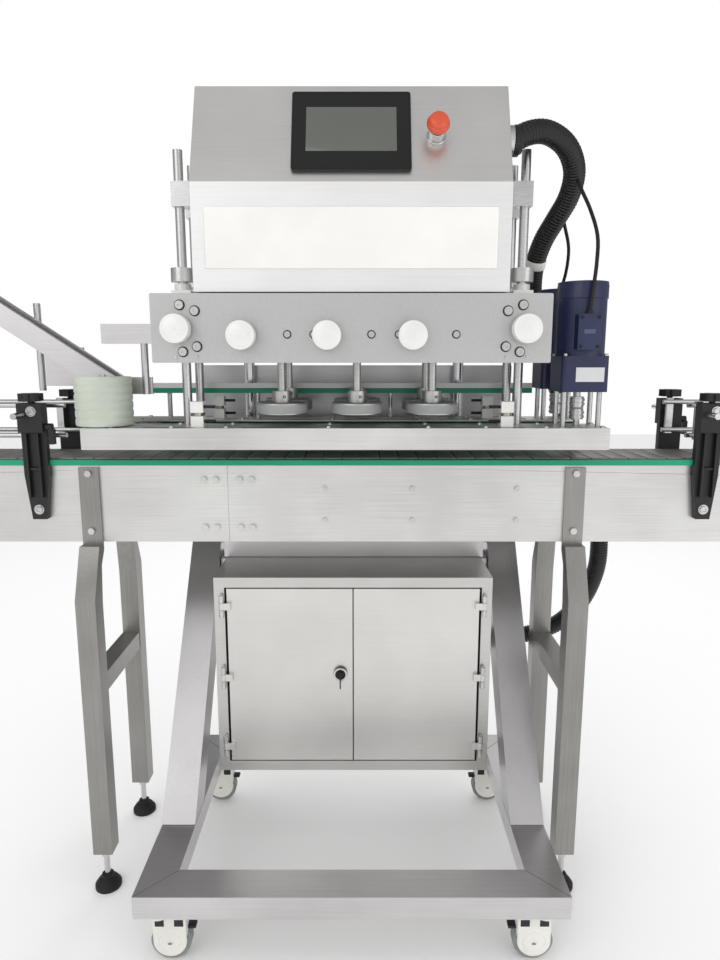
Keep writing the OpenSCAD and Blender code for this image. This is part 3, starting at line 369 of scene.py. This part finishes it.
def dress(name, materials, bevel=edges["default"], choose=None, segments=2, limit=32, byFace=None):
    part = nodes[name]
    mesh = part.data
    mesh.materials.clear()
    for material in materials if isinstance(materials, list) else [materials]:
        mesh.materials.append(material)
    if "custom_normal" in mesh.attributes:
        mesh.attributes.remove(mesh.attributes["custom_normal"])
    mesh.polygons.foreach_set("material_index", [0] * len(mesh.polygons))
    mesh.polygons.foreach_set("use_smooth", [True] * len(mesh.polygons))
    if choose:
        for polygons, low, high in islandsOf(mesh):
            for polygon in polygons:
                polygon.material_index = choose(high - low, low, high)
    for polygon in mesh.polygons if byFace else ():
        polygon.material_index = byFace(polygon)
    weld = part.modifiers.new("weld", "WELD")
    weld.merge_threshold = 0.00002
    if bevel:
        rounding = part.modifiers.new("rounding", "BEVEL")
        rounding.width = bevel
        rounding.segments = segments
        rounding.limit_method = "ANGLE"
        rounding.angle_limit = math.radians(limit)
        rounding.use_clamp_overlap = True
        even = part.modifiers.new("even", "WEIGHTED_NORMAL")
        even.weight = 100
        even.keep_sharp = False
    else:
        split = part.modifiers.new("split", "EDGE_SPLIT")
        split.split_angle = math.radians(35)
    return part


dress("base_frame", stainlessX, edges["tube"], segments=3)
dress("support_legs", legTube, edges["tube"], segments=3)
dress("rear_housing", stainlessX, edges["sheet"])
dress("electrical_cabinet", cabinetSheet, edges["default"])
dress("cabinet_door_left", doorSheet, edges["default"])
dress("cabinet_door_right", doorSheet, edges["default"])
dress("door_lock", blackPlastic, 0.0005)
dress("castor_plates", greenZinc, 0.0006)
for n in range(1, 5):
    dress(f"castor_wheel_{n}", [tyreRubber], 0.001)
dress("conveyor_side_plates", [conveyorSheet, boltSteel], 0.0005,
      byFace=lambda face: 1 if face.area < 0.00004 else 0)
dress("conveyor_wear_strips", greenPlastic, 0.0006)
dress("conveyor_legs", darkTube, 0.002)
dress("levelling_feet", [blackRubber, machined], 0.0006, lambda size, low, high: 0 if low.z < 0.01 else 1)
dress("conveyor_drive_shaft", machined, 0.0004)
dress("conveyor_idler_shaft", machined, 0.0004)
dress("conveyor_gearmotor", navyPaint, 0.0015)
dress("machine_fittings", machined, 0.0004)
dress("side_guides", [blackPlastic, machined], 0.001,
      lambda size, low, high: 1 if size.x > 0.2 or size.y > 0.07 or (size.z > 0.06 and size.y < 0.01) else 0)
dress("lift_columns", chromed, 0.0004)
dress("head_housing", stainlessX, edges["default"])
dress("head_front_plate", [plateAluminium, machined], 0.0006,
      lambda size, low, high: 0 if size.x > 0.1 else 1)
dress("spindle_drive", [navyPaint, blackRubber], 0.0006, lambda size, low, high: 1 if size.x > 0.2 else 0)
# the big face looking at the operator takes the lighter front copy (slot 3) as painted light; the slope and
# the rest of the box keep the darker sheet
dress("control_box", [stainlessSlope, machined, plateWhite, boxFrontPaintedLight], edges["sheet"],
      lambda size, low, high: 2 if size.y < 0.003 else 0 if size.x > 0.4 else 1, segments=3, limit=15,
      byFace=lambda face: 3 if face.material_index == 0 and face.normal.y < -0.98 and face.area > 0.001
      else face.material_index)
dress("touch_panel", bezelBlack, 0.001)
dress("post_fittings", [machined, whitePom, brassKnurl, blackPlastic, knobAluminium], 0.0006,
      lambda size, low, high: 0 if size.z > 0.1 else 1 if abs(size.x - 0.024) < 0.001 and size.y > 0.02
      else 3 if size.y < 0.008 else 2 if size.x < 0.0195 else 4 if abs(size.x - 0.038) < 0.001 else 0)
for n in (1, 2, 3):
    dress(f"spindle_carriage_{n}", machined, 0.0005)
    for row in ("front", "rear"):
        dress(f"{row}_spindle_{n}", [spindleSilver, wheelRubber], 0.0006,
              lambda size, low, high: 1 if size.z < 0.03 else 0)
dress("gripper_trays", [trayStainless, machined, greenPlastic, railAluminium], 0.001,
      lambda size, low, high: 0 if size.y > 0.09 else 1 if size.x < 0.4 else 2 if high.z < 1.0535 else 3)
dress("gripper_belts", greenPlastic, 0.0004)
dress("gripper_gearmotors", navyPaint, 0.002, segments=3)
for end in ("drive", "idler"):
    for row in ("front", "rear"):
        dress(f"{end}_pulley_{row}", machined, 0.0006)
dress("spacing_roller", clearRoller, 0.0)
dress("cap_chute", stainlessX, 0.0006)
print("finishes given")


# ---- table-top chain: separate slats round the whole loop
chain = {"pitch": 0.0381, "slat": 0.0365, "thick": 0.0032, "width": 0.144}
low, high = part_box("conveyor_chain")
loopRadius = (high.z - low.z) / 2
loopMiddle = (high.z + low.z) / 2
loopHalf = (high.x - low.x) / 2 - loopRadius
straight = 2 * loopHalf
arc = math.pi * (loopRadius - chain["thick"])
around = 2 * (straight + arc)
count = int(around / chain["pitch"])
slats = bmesh.new()
addBox(slats, (-chain["slat"] / 2, -chain["width"] / 2, -chain["thick"]),
                   (chain["slat"] / 2, chain["width"] / 2, 0), 0.0009, segments=2)
for side in (-0.042, -0.014, 0.014, 0.042):
    addRound(slats, [(0, -0.009), (0.0042, -0.009), (0.0042, 0.009), (0, 0.009)],
             place(chain["slat"] / 2, side, -0.0062, faceFront), steps=10)
slatSource = bpy.data.meshes.new("slatSource")
slats.to_mesh(slatSource)
slats.free()
chainMesh = bmesh.new()
for i in range(count):
    s = i * around / count
    if s < straight:
        spot = place(-loopHalf + s, 0, loopMiddle + loopRadius)
    elif s < straight + arc:
        angle = (s - straight) / arc * math.pi
        spot = (place(loopHalf, 0, loopMiddle) @ Matrix.Rotation(angle, 4, "Y") @ place(0, 0, loopRadius))
    elif s < 2 * straight + arc:
        spot = place(loopHalf - (s - straight - arc), 0, loopMiddle - loopRadius,
                     Matrix.Rotation(math.pi, 4, "Y"))
    else:
        angle = math.pi + (s - 2 * straight - arc) / arc * math.pi
        spot = (place(-loopHalf, 0, loopMiddle) @ Matrix.Rotation(angle, 4, "Y") @ place(0, 0, loopRadius))
    before = len(chainMesh.verts)
    chainMesh.from_mesh(slatSource)
    chainMesh.verts.ensure_lookup_table()
    bmesh.ops.transform(chainMesh, matrix=spot, verts=chainMesh.verts[before:])
bpy.data.meshes.remove(slatSource)
finishPiece("tableTopChain", chainMesh, "machine", chainSteel, replaced=["conveyor_chain"])
print("chain of", count, "slats")


# ---- touch panel: a blank glass set into the bezel; local z stands off the sloping face
slope = {"front": -0.1995, "fold": 1.4126, "length": 0.19026, "tilt": 22.4}


def onSlope(x, up, out=0.0):
    lean = Matrix.Rotation(math.radians(90 - slope["tilt"]), 4, "X")
    return Matrix.Translation((x, slope["front"], slope["fold"])) @ lean @ Matrix.Translation((0, up, out))


screen = {"low": (-0.0782, -0.0407, 0.0061), "high": (0.0782, 0.0467, 0.0069)}
glass = bmesh.new()
addBox(glass, screen["low"], screen["high"], 0.0003, index=0)
bmesh.ops.transform(glass, matrix=onSlope(0, slope["length"] / 2), verts=glass.verts)
finishPiece("panelScreen", glass, "head", screenGrey)
frameLine = bmesh.new()
for low, high in (((-0.1, -0.0745, 0.0071), (0.1, -0.0735, 0.0075)),
                  ((-0.1, 0.0735, 0.0071), (0.1, 0.0745, 0.0075)),
                  ((-0.1, -0.0745, 0.0071), (-0.099, 0.0745, 0.0075)),
                  ((0.099, -0.0745, 0.0071), (0.1, 0.0745, 0.0075))):
    addBox(frameLine, low, high, 0.0002, segments=1)
bmesh.ops.transform(frameLine, matrix=onSlope(0, slope["length"] / 2), verts=frameLine.verts)
finishPiece("panelRidge", frameLine, "head", darkTrimAndPaintedShade)


# ---- stop button: mushroom cap on its stem
button = {"x": 0.147, "up": slope["length"] / 2 - 0.007,
          "outline": [(0, -0.02), (0.006, -0.02), (0.006, 0.0235), (0.0105, 0.0238), (0.0125, 0.0245),
                      (0.0165, 0.0252), (0.0188, 0.0268), (0.0197, 0.0290), (0.0200, 0.0315),
                      (0.0194, 0.0342), (0.0180, 0.0360), (0.0172, 0.0374), (0.0168, 0.0396),
                      (0.0155, 0.0422), (0.0125, 0.0442), (0.0085, 0.0454), (0.004, 0.0459), (0, 0.046)]}
cap = bmesh.new()
addRound(cap, button["outline"], onSlope(button["x"], button["up"]), steps=64)
finishPiece("stopMushroom", cap, "stop_button", stopRed, smooth=50, replaced=["stop_button"])
collarRing = bmesh.new()
addRound(collarRing,
         [(0.0141, 0.0003), (0.0172, 0.0003), (0.0172, 0.0018), (0.0163, 0.0026), (0.0141, 0.0026)],
         onSlope(button["x"], button["up"]), steps=48)
finishPiece("stopCollarRing", collarRing, "head", machined)
print("panel and stop button placed")


# ---- head knobs: turned discs, finely fluted round the rim, on their screws
knob = {"radius": 0.025, "face": 0.0302, "places": [(-0.302, 1.167, 0.06), (-0.19, 1.156, 0.183),
        (-0.042, 1.156, 0.183), (0.106, 1.156, 0.183), (0.302, 1.167, 0.06)], "front": -0.2112}
for n, (x, z, reach) in enumerate(knob["places"], 1):
    grip = bmesh.new()
    r = knob["radius"]
    addRound(grip, [(0, knob["face"] - 0.0006), (0.0035, knob["face"] - 0.0006), (0.0042, knob["face"]),
                    (r - 0.0052, knob["face"]), (r - 0.0046, knob["face"] - 0.0003),
                    (r - 0.0040, knob["face"]), (r - 0.0018, knob["face"]),
                    (r - 0.0005, knob["face"] - 0.0007), (r, knob["face"] - 0.0022), (r, 0.0085),
                    (r - 0.0015, 0.0072), (0.013, 0.007), (0.013, 0.0004), (0.006, 0.0004),
                    (0.006, -reach + 0.001), (0.005, -reach), (0, -reach)],
             place(x, knob["front"], z, faceFront), steps=96)
    for vert in grip.verts:
        off = Vector((vert.co.x - x, 0, vert.co.z - z))
        depth = knob["front"] - vert.co.y
        spoke = round((math.atan2(off.z, off.x) + math.pi) / math.tau * 96)
        if off.length > r - 0.0001 and depth < 0.0225 and spoke % 2:
            vert.co -= off.normalized() * 0.0005
    finishPiece(f"headKnob{n}", grip, f"knob_{n}", knobAluminium, smooth=30, replaced=[f"knob_{n}"])
print("knobs turned")


# ---- head plate: painted shade, a dark ring in the counterbore round each socket screw where the recess falls in shadow
ringSpots = [(x, 1.158, 0.0056) for x in (-0.112, -0.066, 0.035, 0.083, 0.183)]
ringSpots += [(side * x, 1.109 + z, 0.0075) for side in (-1, 1) for x, z in
              ((0.298, 0.099), (0.272, 0.089), (0.27, 0.028), (0.295, 0.019))]
rings = bmesh.new()
for x, z, r in ringSpots:
    addRound(rings, [(r, 0.00005), (r + 0.0016, 0.00005), (r + 0.0018, 0.0004), (r, 0.0004)],
             place(x, -0.211, z, faceFront), steps=32)
finishPiece("counterborePaintedShadeRings", rings, "head", darkTrimAndPaintedShade, smooth=0)


# ---- gripper motors: lid, its screws and blank label, cap joint, rating plate, coupling spider
motor = {"x": 0.443, "y": 0.074, "lid": ((0.4185, 0.1338, 1.1325), (0.4625, 0.1372, 1.1985)),
         "label": ((0.4300, 0.1370, 1.1620), (0.4510, 0.1375, 1.1700)), "gearboxTop": 1.1216}
for row, side in (("Front", -1), ("Rear", 1)):
    lid = bmesh.new()
    (x0, y0, z0), (x1, y1, z1) = motor["lid"]
    addBox(lid, (x0, min(side * y0, side * y1), z0), (x1, max(side * y0, side * y1), z1), 0.0012, index=0)
    for x in (x0 + 0.006, x1 - 0.006):
        for z in (z0 + 0.006, z1 - 0.006):
            addRound(lid, [(0, 0.0012), (0.0012, 0.0012), (0.0014, 0.0018), (0.0026, 0.0018),
                           (0.003, 0.0012), (0.003, 0)],
                     place(x, side * y1, z, faceFront if side < 0 else faceFront.inverted()), steps=16,
                     index=1)
    (x0, y0, z0), (x1, y1, z1) = motor["label"]
    addBox(lid, (x0, min(side * y0, side * y1), z0), (x1, max(side * y0, side * y1), z1), 0.0002, index=2,
           segments=1)
    addRound(lid, [(0.005, -0.004), (0.0062, -0.004), (0.0058, 0.0035), (0.0045, 0.008), (0.0037, 0.009),
                   (0.0033, 0.009)],
             place(0.44, side * 0.13, 1.1985), steps=24, index=3)
    finishPiece(f"terminalLid{row}", lid, "head", [navyLid, blackPlastic, lidLabel, blackRubber])
    body = bmesh.new()
    addRound(body, [(0.0461, 0.1060), (0.0476, 0.1068), (0.0476, 0.1320), (0.0461, 0.1350)],
             place(motor["x"], side * motor["y"], motor["gearboxTop"]), steps=72, index=0)
    for turn in (45, 135, 225, 315):
        spot = place(motor["x"], side * motor["y"], 0) @ Matrix.Rotation(math.radians(turn), 4, "Z")
        addRound(body, [(0, 0.1385), (0.0026, 0.1385), (0.003, 0.138), (0.003, 0.1365)],
                 spot @ place(0.037, 0, motor["gearboxTop"]), steps=16, index=1)
        addRound(body, [(0, 0.0035), (0.0015, 0.0035), (0.0017, 0.0045), (0.0036, 0.0045), (0.004, 0.004),
                        (0.004, 0)],
                 spot @ place(0.0545, 0, motor["gearboxTop"]), steps=16, index=1)
    finishPiece(f"motorTrim{row}", body, "head", [navyPaint, machined])
rating = bmesh.new()
addBox(rating, (0.4240, -0.1196, 1.0730), (0.4780, -0.1190, 1.1000), 0.0002, segments=1)
finishPiece("blankRatingLabel", rating, "head", labelSilver, smooth=0)
for row, side in (("front", -1), ("rear", 1)):
    spider = bmesh.new()
    addRound(spider, [(0.006, 1.0188), (0.0118, 1.0188), (0.0122, 1.0192), (0.0122, 1.0228),
                      (0.0118, 1.0232), (0.006, 1.0232)],
             place(motor["x"], side * motor["y"], 0), steps=36, index=0)
    for height in (1.0015, 1.0095, 1.0265, 1.0345):
        addRound(spider, [(0.0131, height), (0.0146, height + 0.0004), (0.0146, height + 0.0046),
                          (0.0131, height + 0.005)],
                 place(motor["x"], side * motor["y"], 0), steps=36, index=1)
    finishPiece(f"couplingHub{row.title()}", spider, f"drive_pulley_{row}", [spiderGrey, machined])
print("motor details placed")


# ---- tray top: adjustment slots drawn as thin dark strips, painted shade standing in for the open slots, and button screws
tray = {"top": 0.987, "inner": 0.042, "slots": [(-0.40, -0.30), (-0.21, -0.07), (-0.02, 0.12), (0.19, 0.33)],
        "screws": (-0.46, -0.345, -0.24, -0.045, 0.145, 0.255, 0.37, 0.478)}
for row, side in (("Front", -1), ("Rear", 1)):
    slots = bmesh.new()
    # dark strips on the tray top: painted shade where the open slots would be
    for x0, x1 in tray["slots"]:
        for y in (0.058, 0.128):
            addBox(slots, (x0, side * y - 0.0022, tray["top"] - 0.0005),
                   (x1, side * y + 0.0022, tray["top"] + 0.0003), 0.0003, index=0, segments=1)
    for x in tray["screws"]:
        for y in (0.058, 0.128):
            addRound(slots, [(0, 0.0022), (0.0018, 0.0022), (0.002, 0.0034), (0.0036, 0.0032),
                             (0.0048, 0.0018), (0.005, 0)],
                     place(x, side * y, tray["top"]), steps=20, index=1)
    finishPiece(f"traySlots{row}", slots, "head", [darkTrimAndPaintedShade, machined])


# ---- castor shrouds: round cheeks over the wheel, a crown with windows drawn as black plates (painted shade for the openings), and the brake tab
castor = {"x": 0.362, "front": -0.3, "rear": 0.177, "trail": 0.022, "radius": 0.0315, "middle": 0.043,
          "inner": 0.0148, "outer": 0.0203, "top": 0.0965}
spots = [(-castor["x"], castor["front"]), (castor["x"], castor["front"]),
         (-castor["x"], castor["rear"]), (castor["x"], castor["rear"])]
for n, (x, y) in enumerate(spots, 1):
    inward = 1 if x < 0 else -1
    hub = x + inward * castor["trail"]
    r, inner, outer = castor["radius"], castor["inner"], castor["outer"]
    shroud = bmesh.new()
    for side in (-1, 1):
        facing = faceFront if side < 0 else faceFront.inverted()
        addRound(shroud, [(0, outer - 0.0012), (0.0058, outer - 0.0012), (0.0064, outer - 0.0002),
                          (0.019, outer),
                          (0.0198, outer - 0.0010), (0.0210, outer - 0.0010), (0.0218, outer),
                          (r - 0.0035, outer),
                          (r - 0.0008, outer - 0.0012), (r, outer - 0.004), (r, inner), (0, inner)],
                 place(hub, y, castor["middle"], facing), steps=56, index=0)
        low, high = sorted((y + side * inner, y + side * (outer - 0.0006)))
        addBox(shroud, (hub - r + 0.0004, low, castor["middle"]), (hub + r - 0.0004, high, castor["top"]),
               0.0018, index=0, segments=3)
        low, high = sorted((y + side * (outer - 0.0012), y + side * (outer - 0.0001)))
        # black plates on the cheek walls for the windows: painted shade where the openings would show the
        # dark inside
        for left in (-0.0265, 0.0095):
            addBox(shroud, (hub + left, low, 0.0760), (hub + left + 0.017, high, 0.0900), 0.0003, index=1,
                   segments=1)
        addBox(shroud, (hub - 0.0062, low, 0.062), (hub + 0.0062, high + 0.0006 * (side > 0), 0.0955),
               0.0004, index=0)
    for end in (-1, 1):
        addBox(shroud, (hub + end * (r - 0.0018) - 0.0018, y - inner - 0.001, 0.052),
               (hub + end * (r - 0.0018) + 0.0018, y + inner + 0.001, castor["top"]), 0.0008, index=0)
    addBox(shroud, (hub - r + 0.001, y - outer + 0.001, 0.0905),
           (hub + r - 0.001, y + outer - 0.001, 0.0990), 0.003, index=0, segments=3)
    addRound(shroud, [(0.0125, 0.1025), (0.0245, 0.1025), (0.0258, 0.1012), (0.0262, 0.0975),
                      (0.0255, 0.0925),
                      (0.0125, 0.0925), (0.0125, 0.1025)], place(x, y, 0), steps=48, index=0)
    addBox(shroud, (hub + inward * 0.038 - 0.0085, y - 0.008, 0.0605),
           (hub + inward * 0.038 + 0.0085, y + 0.008, 0.0665), 0.0015, index=1)
    finishPiece(f"castorShroud{n}", shroud, f"castor_fork_{n}", [creamPlastic, blackPlastic], smooth=40,
                replaced=[f"castor_fork_{n}"])
print("castors dressed")


# ---- base frame: ground weld seams along the mitres
seams = bmesh.new()
for sx, sy in ((-1, -1), (1, -1), (-1, 1), (1, 1)):
    corner = Vector((sx * 0.4, -0.338 if sy < 0 else 0.215, 0.1531))
    spot = Matrix.Translation(corner) @ Matrix.Rotation(math.atan2(-sy, -sx), 4, "Z")
    before = set(seams.verts)
    addBox(seams, (0.004, -0.0006, -0.0004), (0.0965, 0.0006, 0.0002), 0.0002, segments=1)
    bmesh.ops.transform(seams, matrix=spot, verts=[v for v in seams.verts if v not in before])
finishPiece("mitreSeams", seams, "machine", weldSeam, smooth=0)


# ---- capping wheels: a turned flange above and below each tyre
wheel = {"low": 1.009, "thick": 0.023, "radius": 0.05, "xs": (-0.139, 0.009, 0.157)}
for row, y in (("front", -0.07), ("rear", 0.07)):
    for n, x in enumerate(wheel["xs"], 1):
        flange = bmesh.new()
        r, top = wheel["radius"], wheel["thick"]
        addRound(flange, [(0.022, top + 0.0002), (0.0395, top + 0.0002), (0.0405, top + 0.0012),
                          (r - 0.003, top + 0.0012), (r - 0.0004, top - 0.0004), (r + 0.0004, top - 0.0020),
                          (r + 0.0004, top - 0.0034), (r - 0.002, top - 0.0036)],
                 place(x, y, wheel["low"]), steps=72)
        addRound(flange, [(r - 0.002, 0.0032), (r + 0.0003, 0.003), (r + 0.0003, 0.0012),
                          (r - 0.001, -0.0002), (0.041, -0.0002)], place(x, y, wheel["low"]), steps=72)
        for turn in (20, 200):
            spot = place(x, y, wheel["low"] + top + 0.011) @ Matrix.Rotation(math.radians(turn - 90), 4, "Z")
            addRound(flange, [(0, 0.0186), (0.0012, 0.0186), (0.0014, 0.0196), (0.003, 0.0196),
                              (0.0031, 0.0186)],
                     spot @ alongX, steps=16, index=1)
        finishPiece(f"{row}WheelFlange{n}", flange, f"{row}_spindle_{n}", [spindleSilver, darkTrimAndPaintedShade])
print("wheels flanged")


# ---- side guide brackets: fixing bolts with washers, a web in the foot and the parting ridge
bracketSpots = [(x, side) for x in (-0.625, 0.7) for side in (-1, 1)]
for n, (x, side) in enumerate(bracketSpots, 1):
    trim = bmesh.new()
    facing = faceFront if side < 0 else faceFront.inverted()
    for dx, z, out in ((0.004, 1.016, 0.1062), (0, 0.82, 0.0942)):
        addRound(trim, [(0, 0.0035), (0.0035, 0.0035), (0.0042, 0.005), (0.007, 0.0048), (0.0075, 0.0042),
                        (0.0075, 0.0012), (0.0098, 0.0012), (0.01, 0.001), (0.01, 0)],
                 place(x + dx, side * out, z, facing), steps=24, index=0)
    for dx in (-0.0115, 0.0115):
        addBox(trim, (x + dx - 0.0018, min(side * 0.0935, side * 0.1035), 0.845),
               (x + dx + 0.0018, max(side * 0.0935, side * 0.1035), 0.972), 0.0008, index=1)
    addBox(trim, (x - 0.0125, min(side * 0.0935, side * 0.1005), 0.9),
           (x + 0.0125, max(side * 0.0935, side * 0.1005), 0.905), 0.0008, index=1)
    finishPiece(f"bracketTrim{n}", trim, "machine", [machined, blackPlastic])


# ---- lock: escutcheon ring and the key's bow
lock = {"x": -0.028, "front": -0.0222, "z": 0.43464, "bowOut": 0.0083, "bowDrop": 0.021}
escutcheon = bmesh.new()
addRound(escutcheon, [(0.0105, 0.0002), (0.0145, 0.0002), (0.0150, 0.0008), (0.0142, 0.0024),
                      (0.0115, 0.0028), (0.0105, 0.0022)],
         place(lock["x"], lock["front"], lock["z"], faceFront), steps=40)
finishPiece("lockRing", escutcheon, "door_lock", machined)
key = bmesh.new()
addRound(key, [(0.0040, -0.0009), (0.0088, -0.0009), (0.0094, -0.0004), (0.0094, 0.0004), (0.0088, 0.0009),
               (0.0040, 0.0009), (0.0040, -0.0009)],
         place(lock["x"], lock["front"] - lock["bowOut"], lock["z"] - lock["bowDrop"], alongX), steps=32)
finishPiece("keyBow", key, "door_lock", machined)


# ---- conduit: a pale clamp band where it is tied to the head
band = {"height": 1.32, "width": 0.018}
at = min(range(1, len(conduitLine) - 1), key=lambda k: abs(conduitLine[k].z - band["height"]))
turn = (conduitLine[at + 1] - conduitLine[at - 1]).normalized().to_track_quat("Z", "Y").to_matrix().to_4x4()
clamp = bmesh.new()
half = band["width"] / 2
addRound(clamp, [(0.0213, -half), (0.0226, -half + 0.0006), (0.0230, -half + 0.002), (0.0230, half - 0.002),
                 (0.0226, half - 0.0006), (0.0213, half)],
         Matrix.Translation(conduitLine[at]) @ turn, steps=40)
finishPiece("conduitClamp", clamp, "head", whitePom)
for name, spot in (("headGlandNut", conduitLine[0]), ("cabinetGlandNut", conduitLine[-1])):
    nut = bmesh.new()
    addRound(nut, [(0.0213, -0.0010), (0.0245, -0.0010), (0.0265, 0.0005), (0.0265, 0.0085), (0.0250, 0.0100),
                   (0.0235, 0.0105), (0.0222, 0.0135), (0.0214, 0.0150)],
             place(spot.x, spot.y, spot.z, alongX), steps=32)
    finishPiece(name, nut, "head" if name.startswith("head") else "machine", blackPlastic)
print("conduit fittings placed")


# ---- floor, world and lights
floorMesh = bmesh.new()
bmesh.ops.create_grid(floorMesh, x_segments=2, y_segments=2, size=9)
floorPaint = moulded("paleFloor", "#fcfcfc", 0.5, speckle=0.0, bump=0.0)
floor = finishPiece("floor", floorMesh, None, floorPaint, smooth=0)

world = bpy.data.worlds.new("studio")
bpy.context.scene.world = world
world.use_nodes = True
tree = world.node_tree
tree.nodes.clear()
# polished steel sees a room bright in front and darker behind and above; all else sees an even white
aim = addNode(tree, "ShaderNodeTexCoord")
way = addNode(tree, "ShaderNodeSeparateXYZ", links={0: aim.outputs["Generated"]})
fromFront = addNode(tree, "ShaderNodeMath", {"operation": "MULTIPLY_ADD", 1: -0.3, 2: 0.5},
                    {0: way.outputs["Y"]})
fromTop = addNode(tree, "ShaderNodeMath", {"operation": "MULTIPLY_ADD", 1: -0.12},
                  {0: way.outputs["Z"], 2: fromFront.outputs[0]})
rays = addNode(tree, "ShaderNodeLightPath")
room = addNode(tree, "ShaderNodeBackground", {"Color": (1, 1, 1, 1)}, {"Strength": fromTop.outputs[0]})
even = addNode(tree, "ShaderNodeBackground", {"Color": (1, 1, 1, 1), "Strength": 1.0})
both = addNode(tree, "ShaderNodeMixShader", links={0: rays.outputs["Is Glossy Ray"], 1: even.outputs[0],
                                                   2: room.outputs[0]})
addNode(tree, "ShaderNodeOutputWorld", links={"Surface": both.outputs[0]})

lamps = {
    "key": {"place": (-2.4, -3.4, 3.0), "size": 3.0, "power": 26},
    "fill": {"place": (3.0, -2.8, 1.6), "size": 3.0, "power": 14},
    "back": {"place": (0.6, 2.8, 3.0), "size": 2.5, "power": 18},
}
for name, lamp in lamps.items():
    light = bpy.data.lights.new(name, "AREA")
    light.shape = "SQUARE"
    light.size = lamp["size"]
    light.energy = lamp["power"]
    holder = bpy.data.objects.new(name, light)
    holder.location = lamp["place"]
    holder.rotation_euler = (Vector((0, 0, 0.9)) - Vector(lamp["place"])).to_track_quat("-Z", "Y").to_euler()
    bpy.context.scene.collection.objects.link(holder)
bpy.context.scene.view_settings.view_transform = "Standard"
print("studio lit")
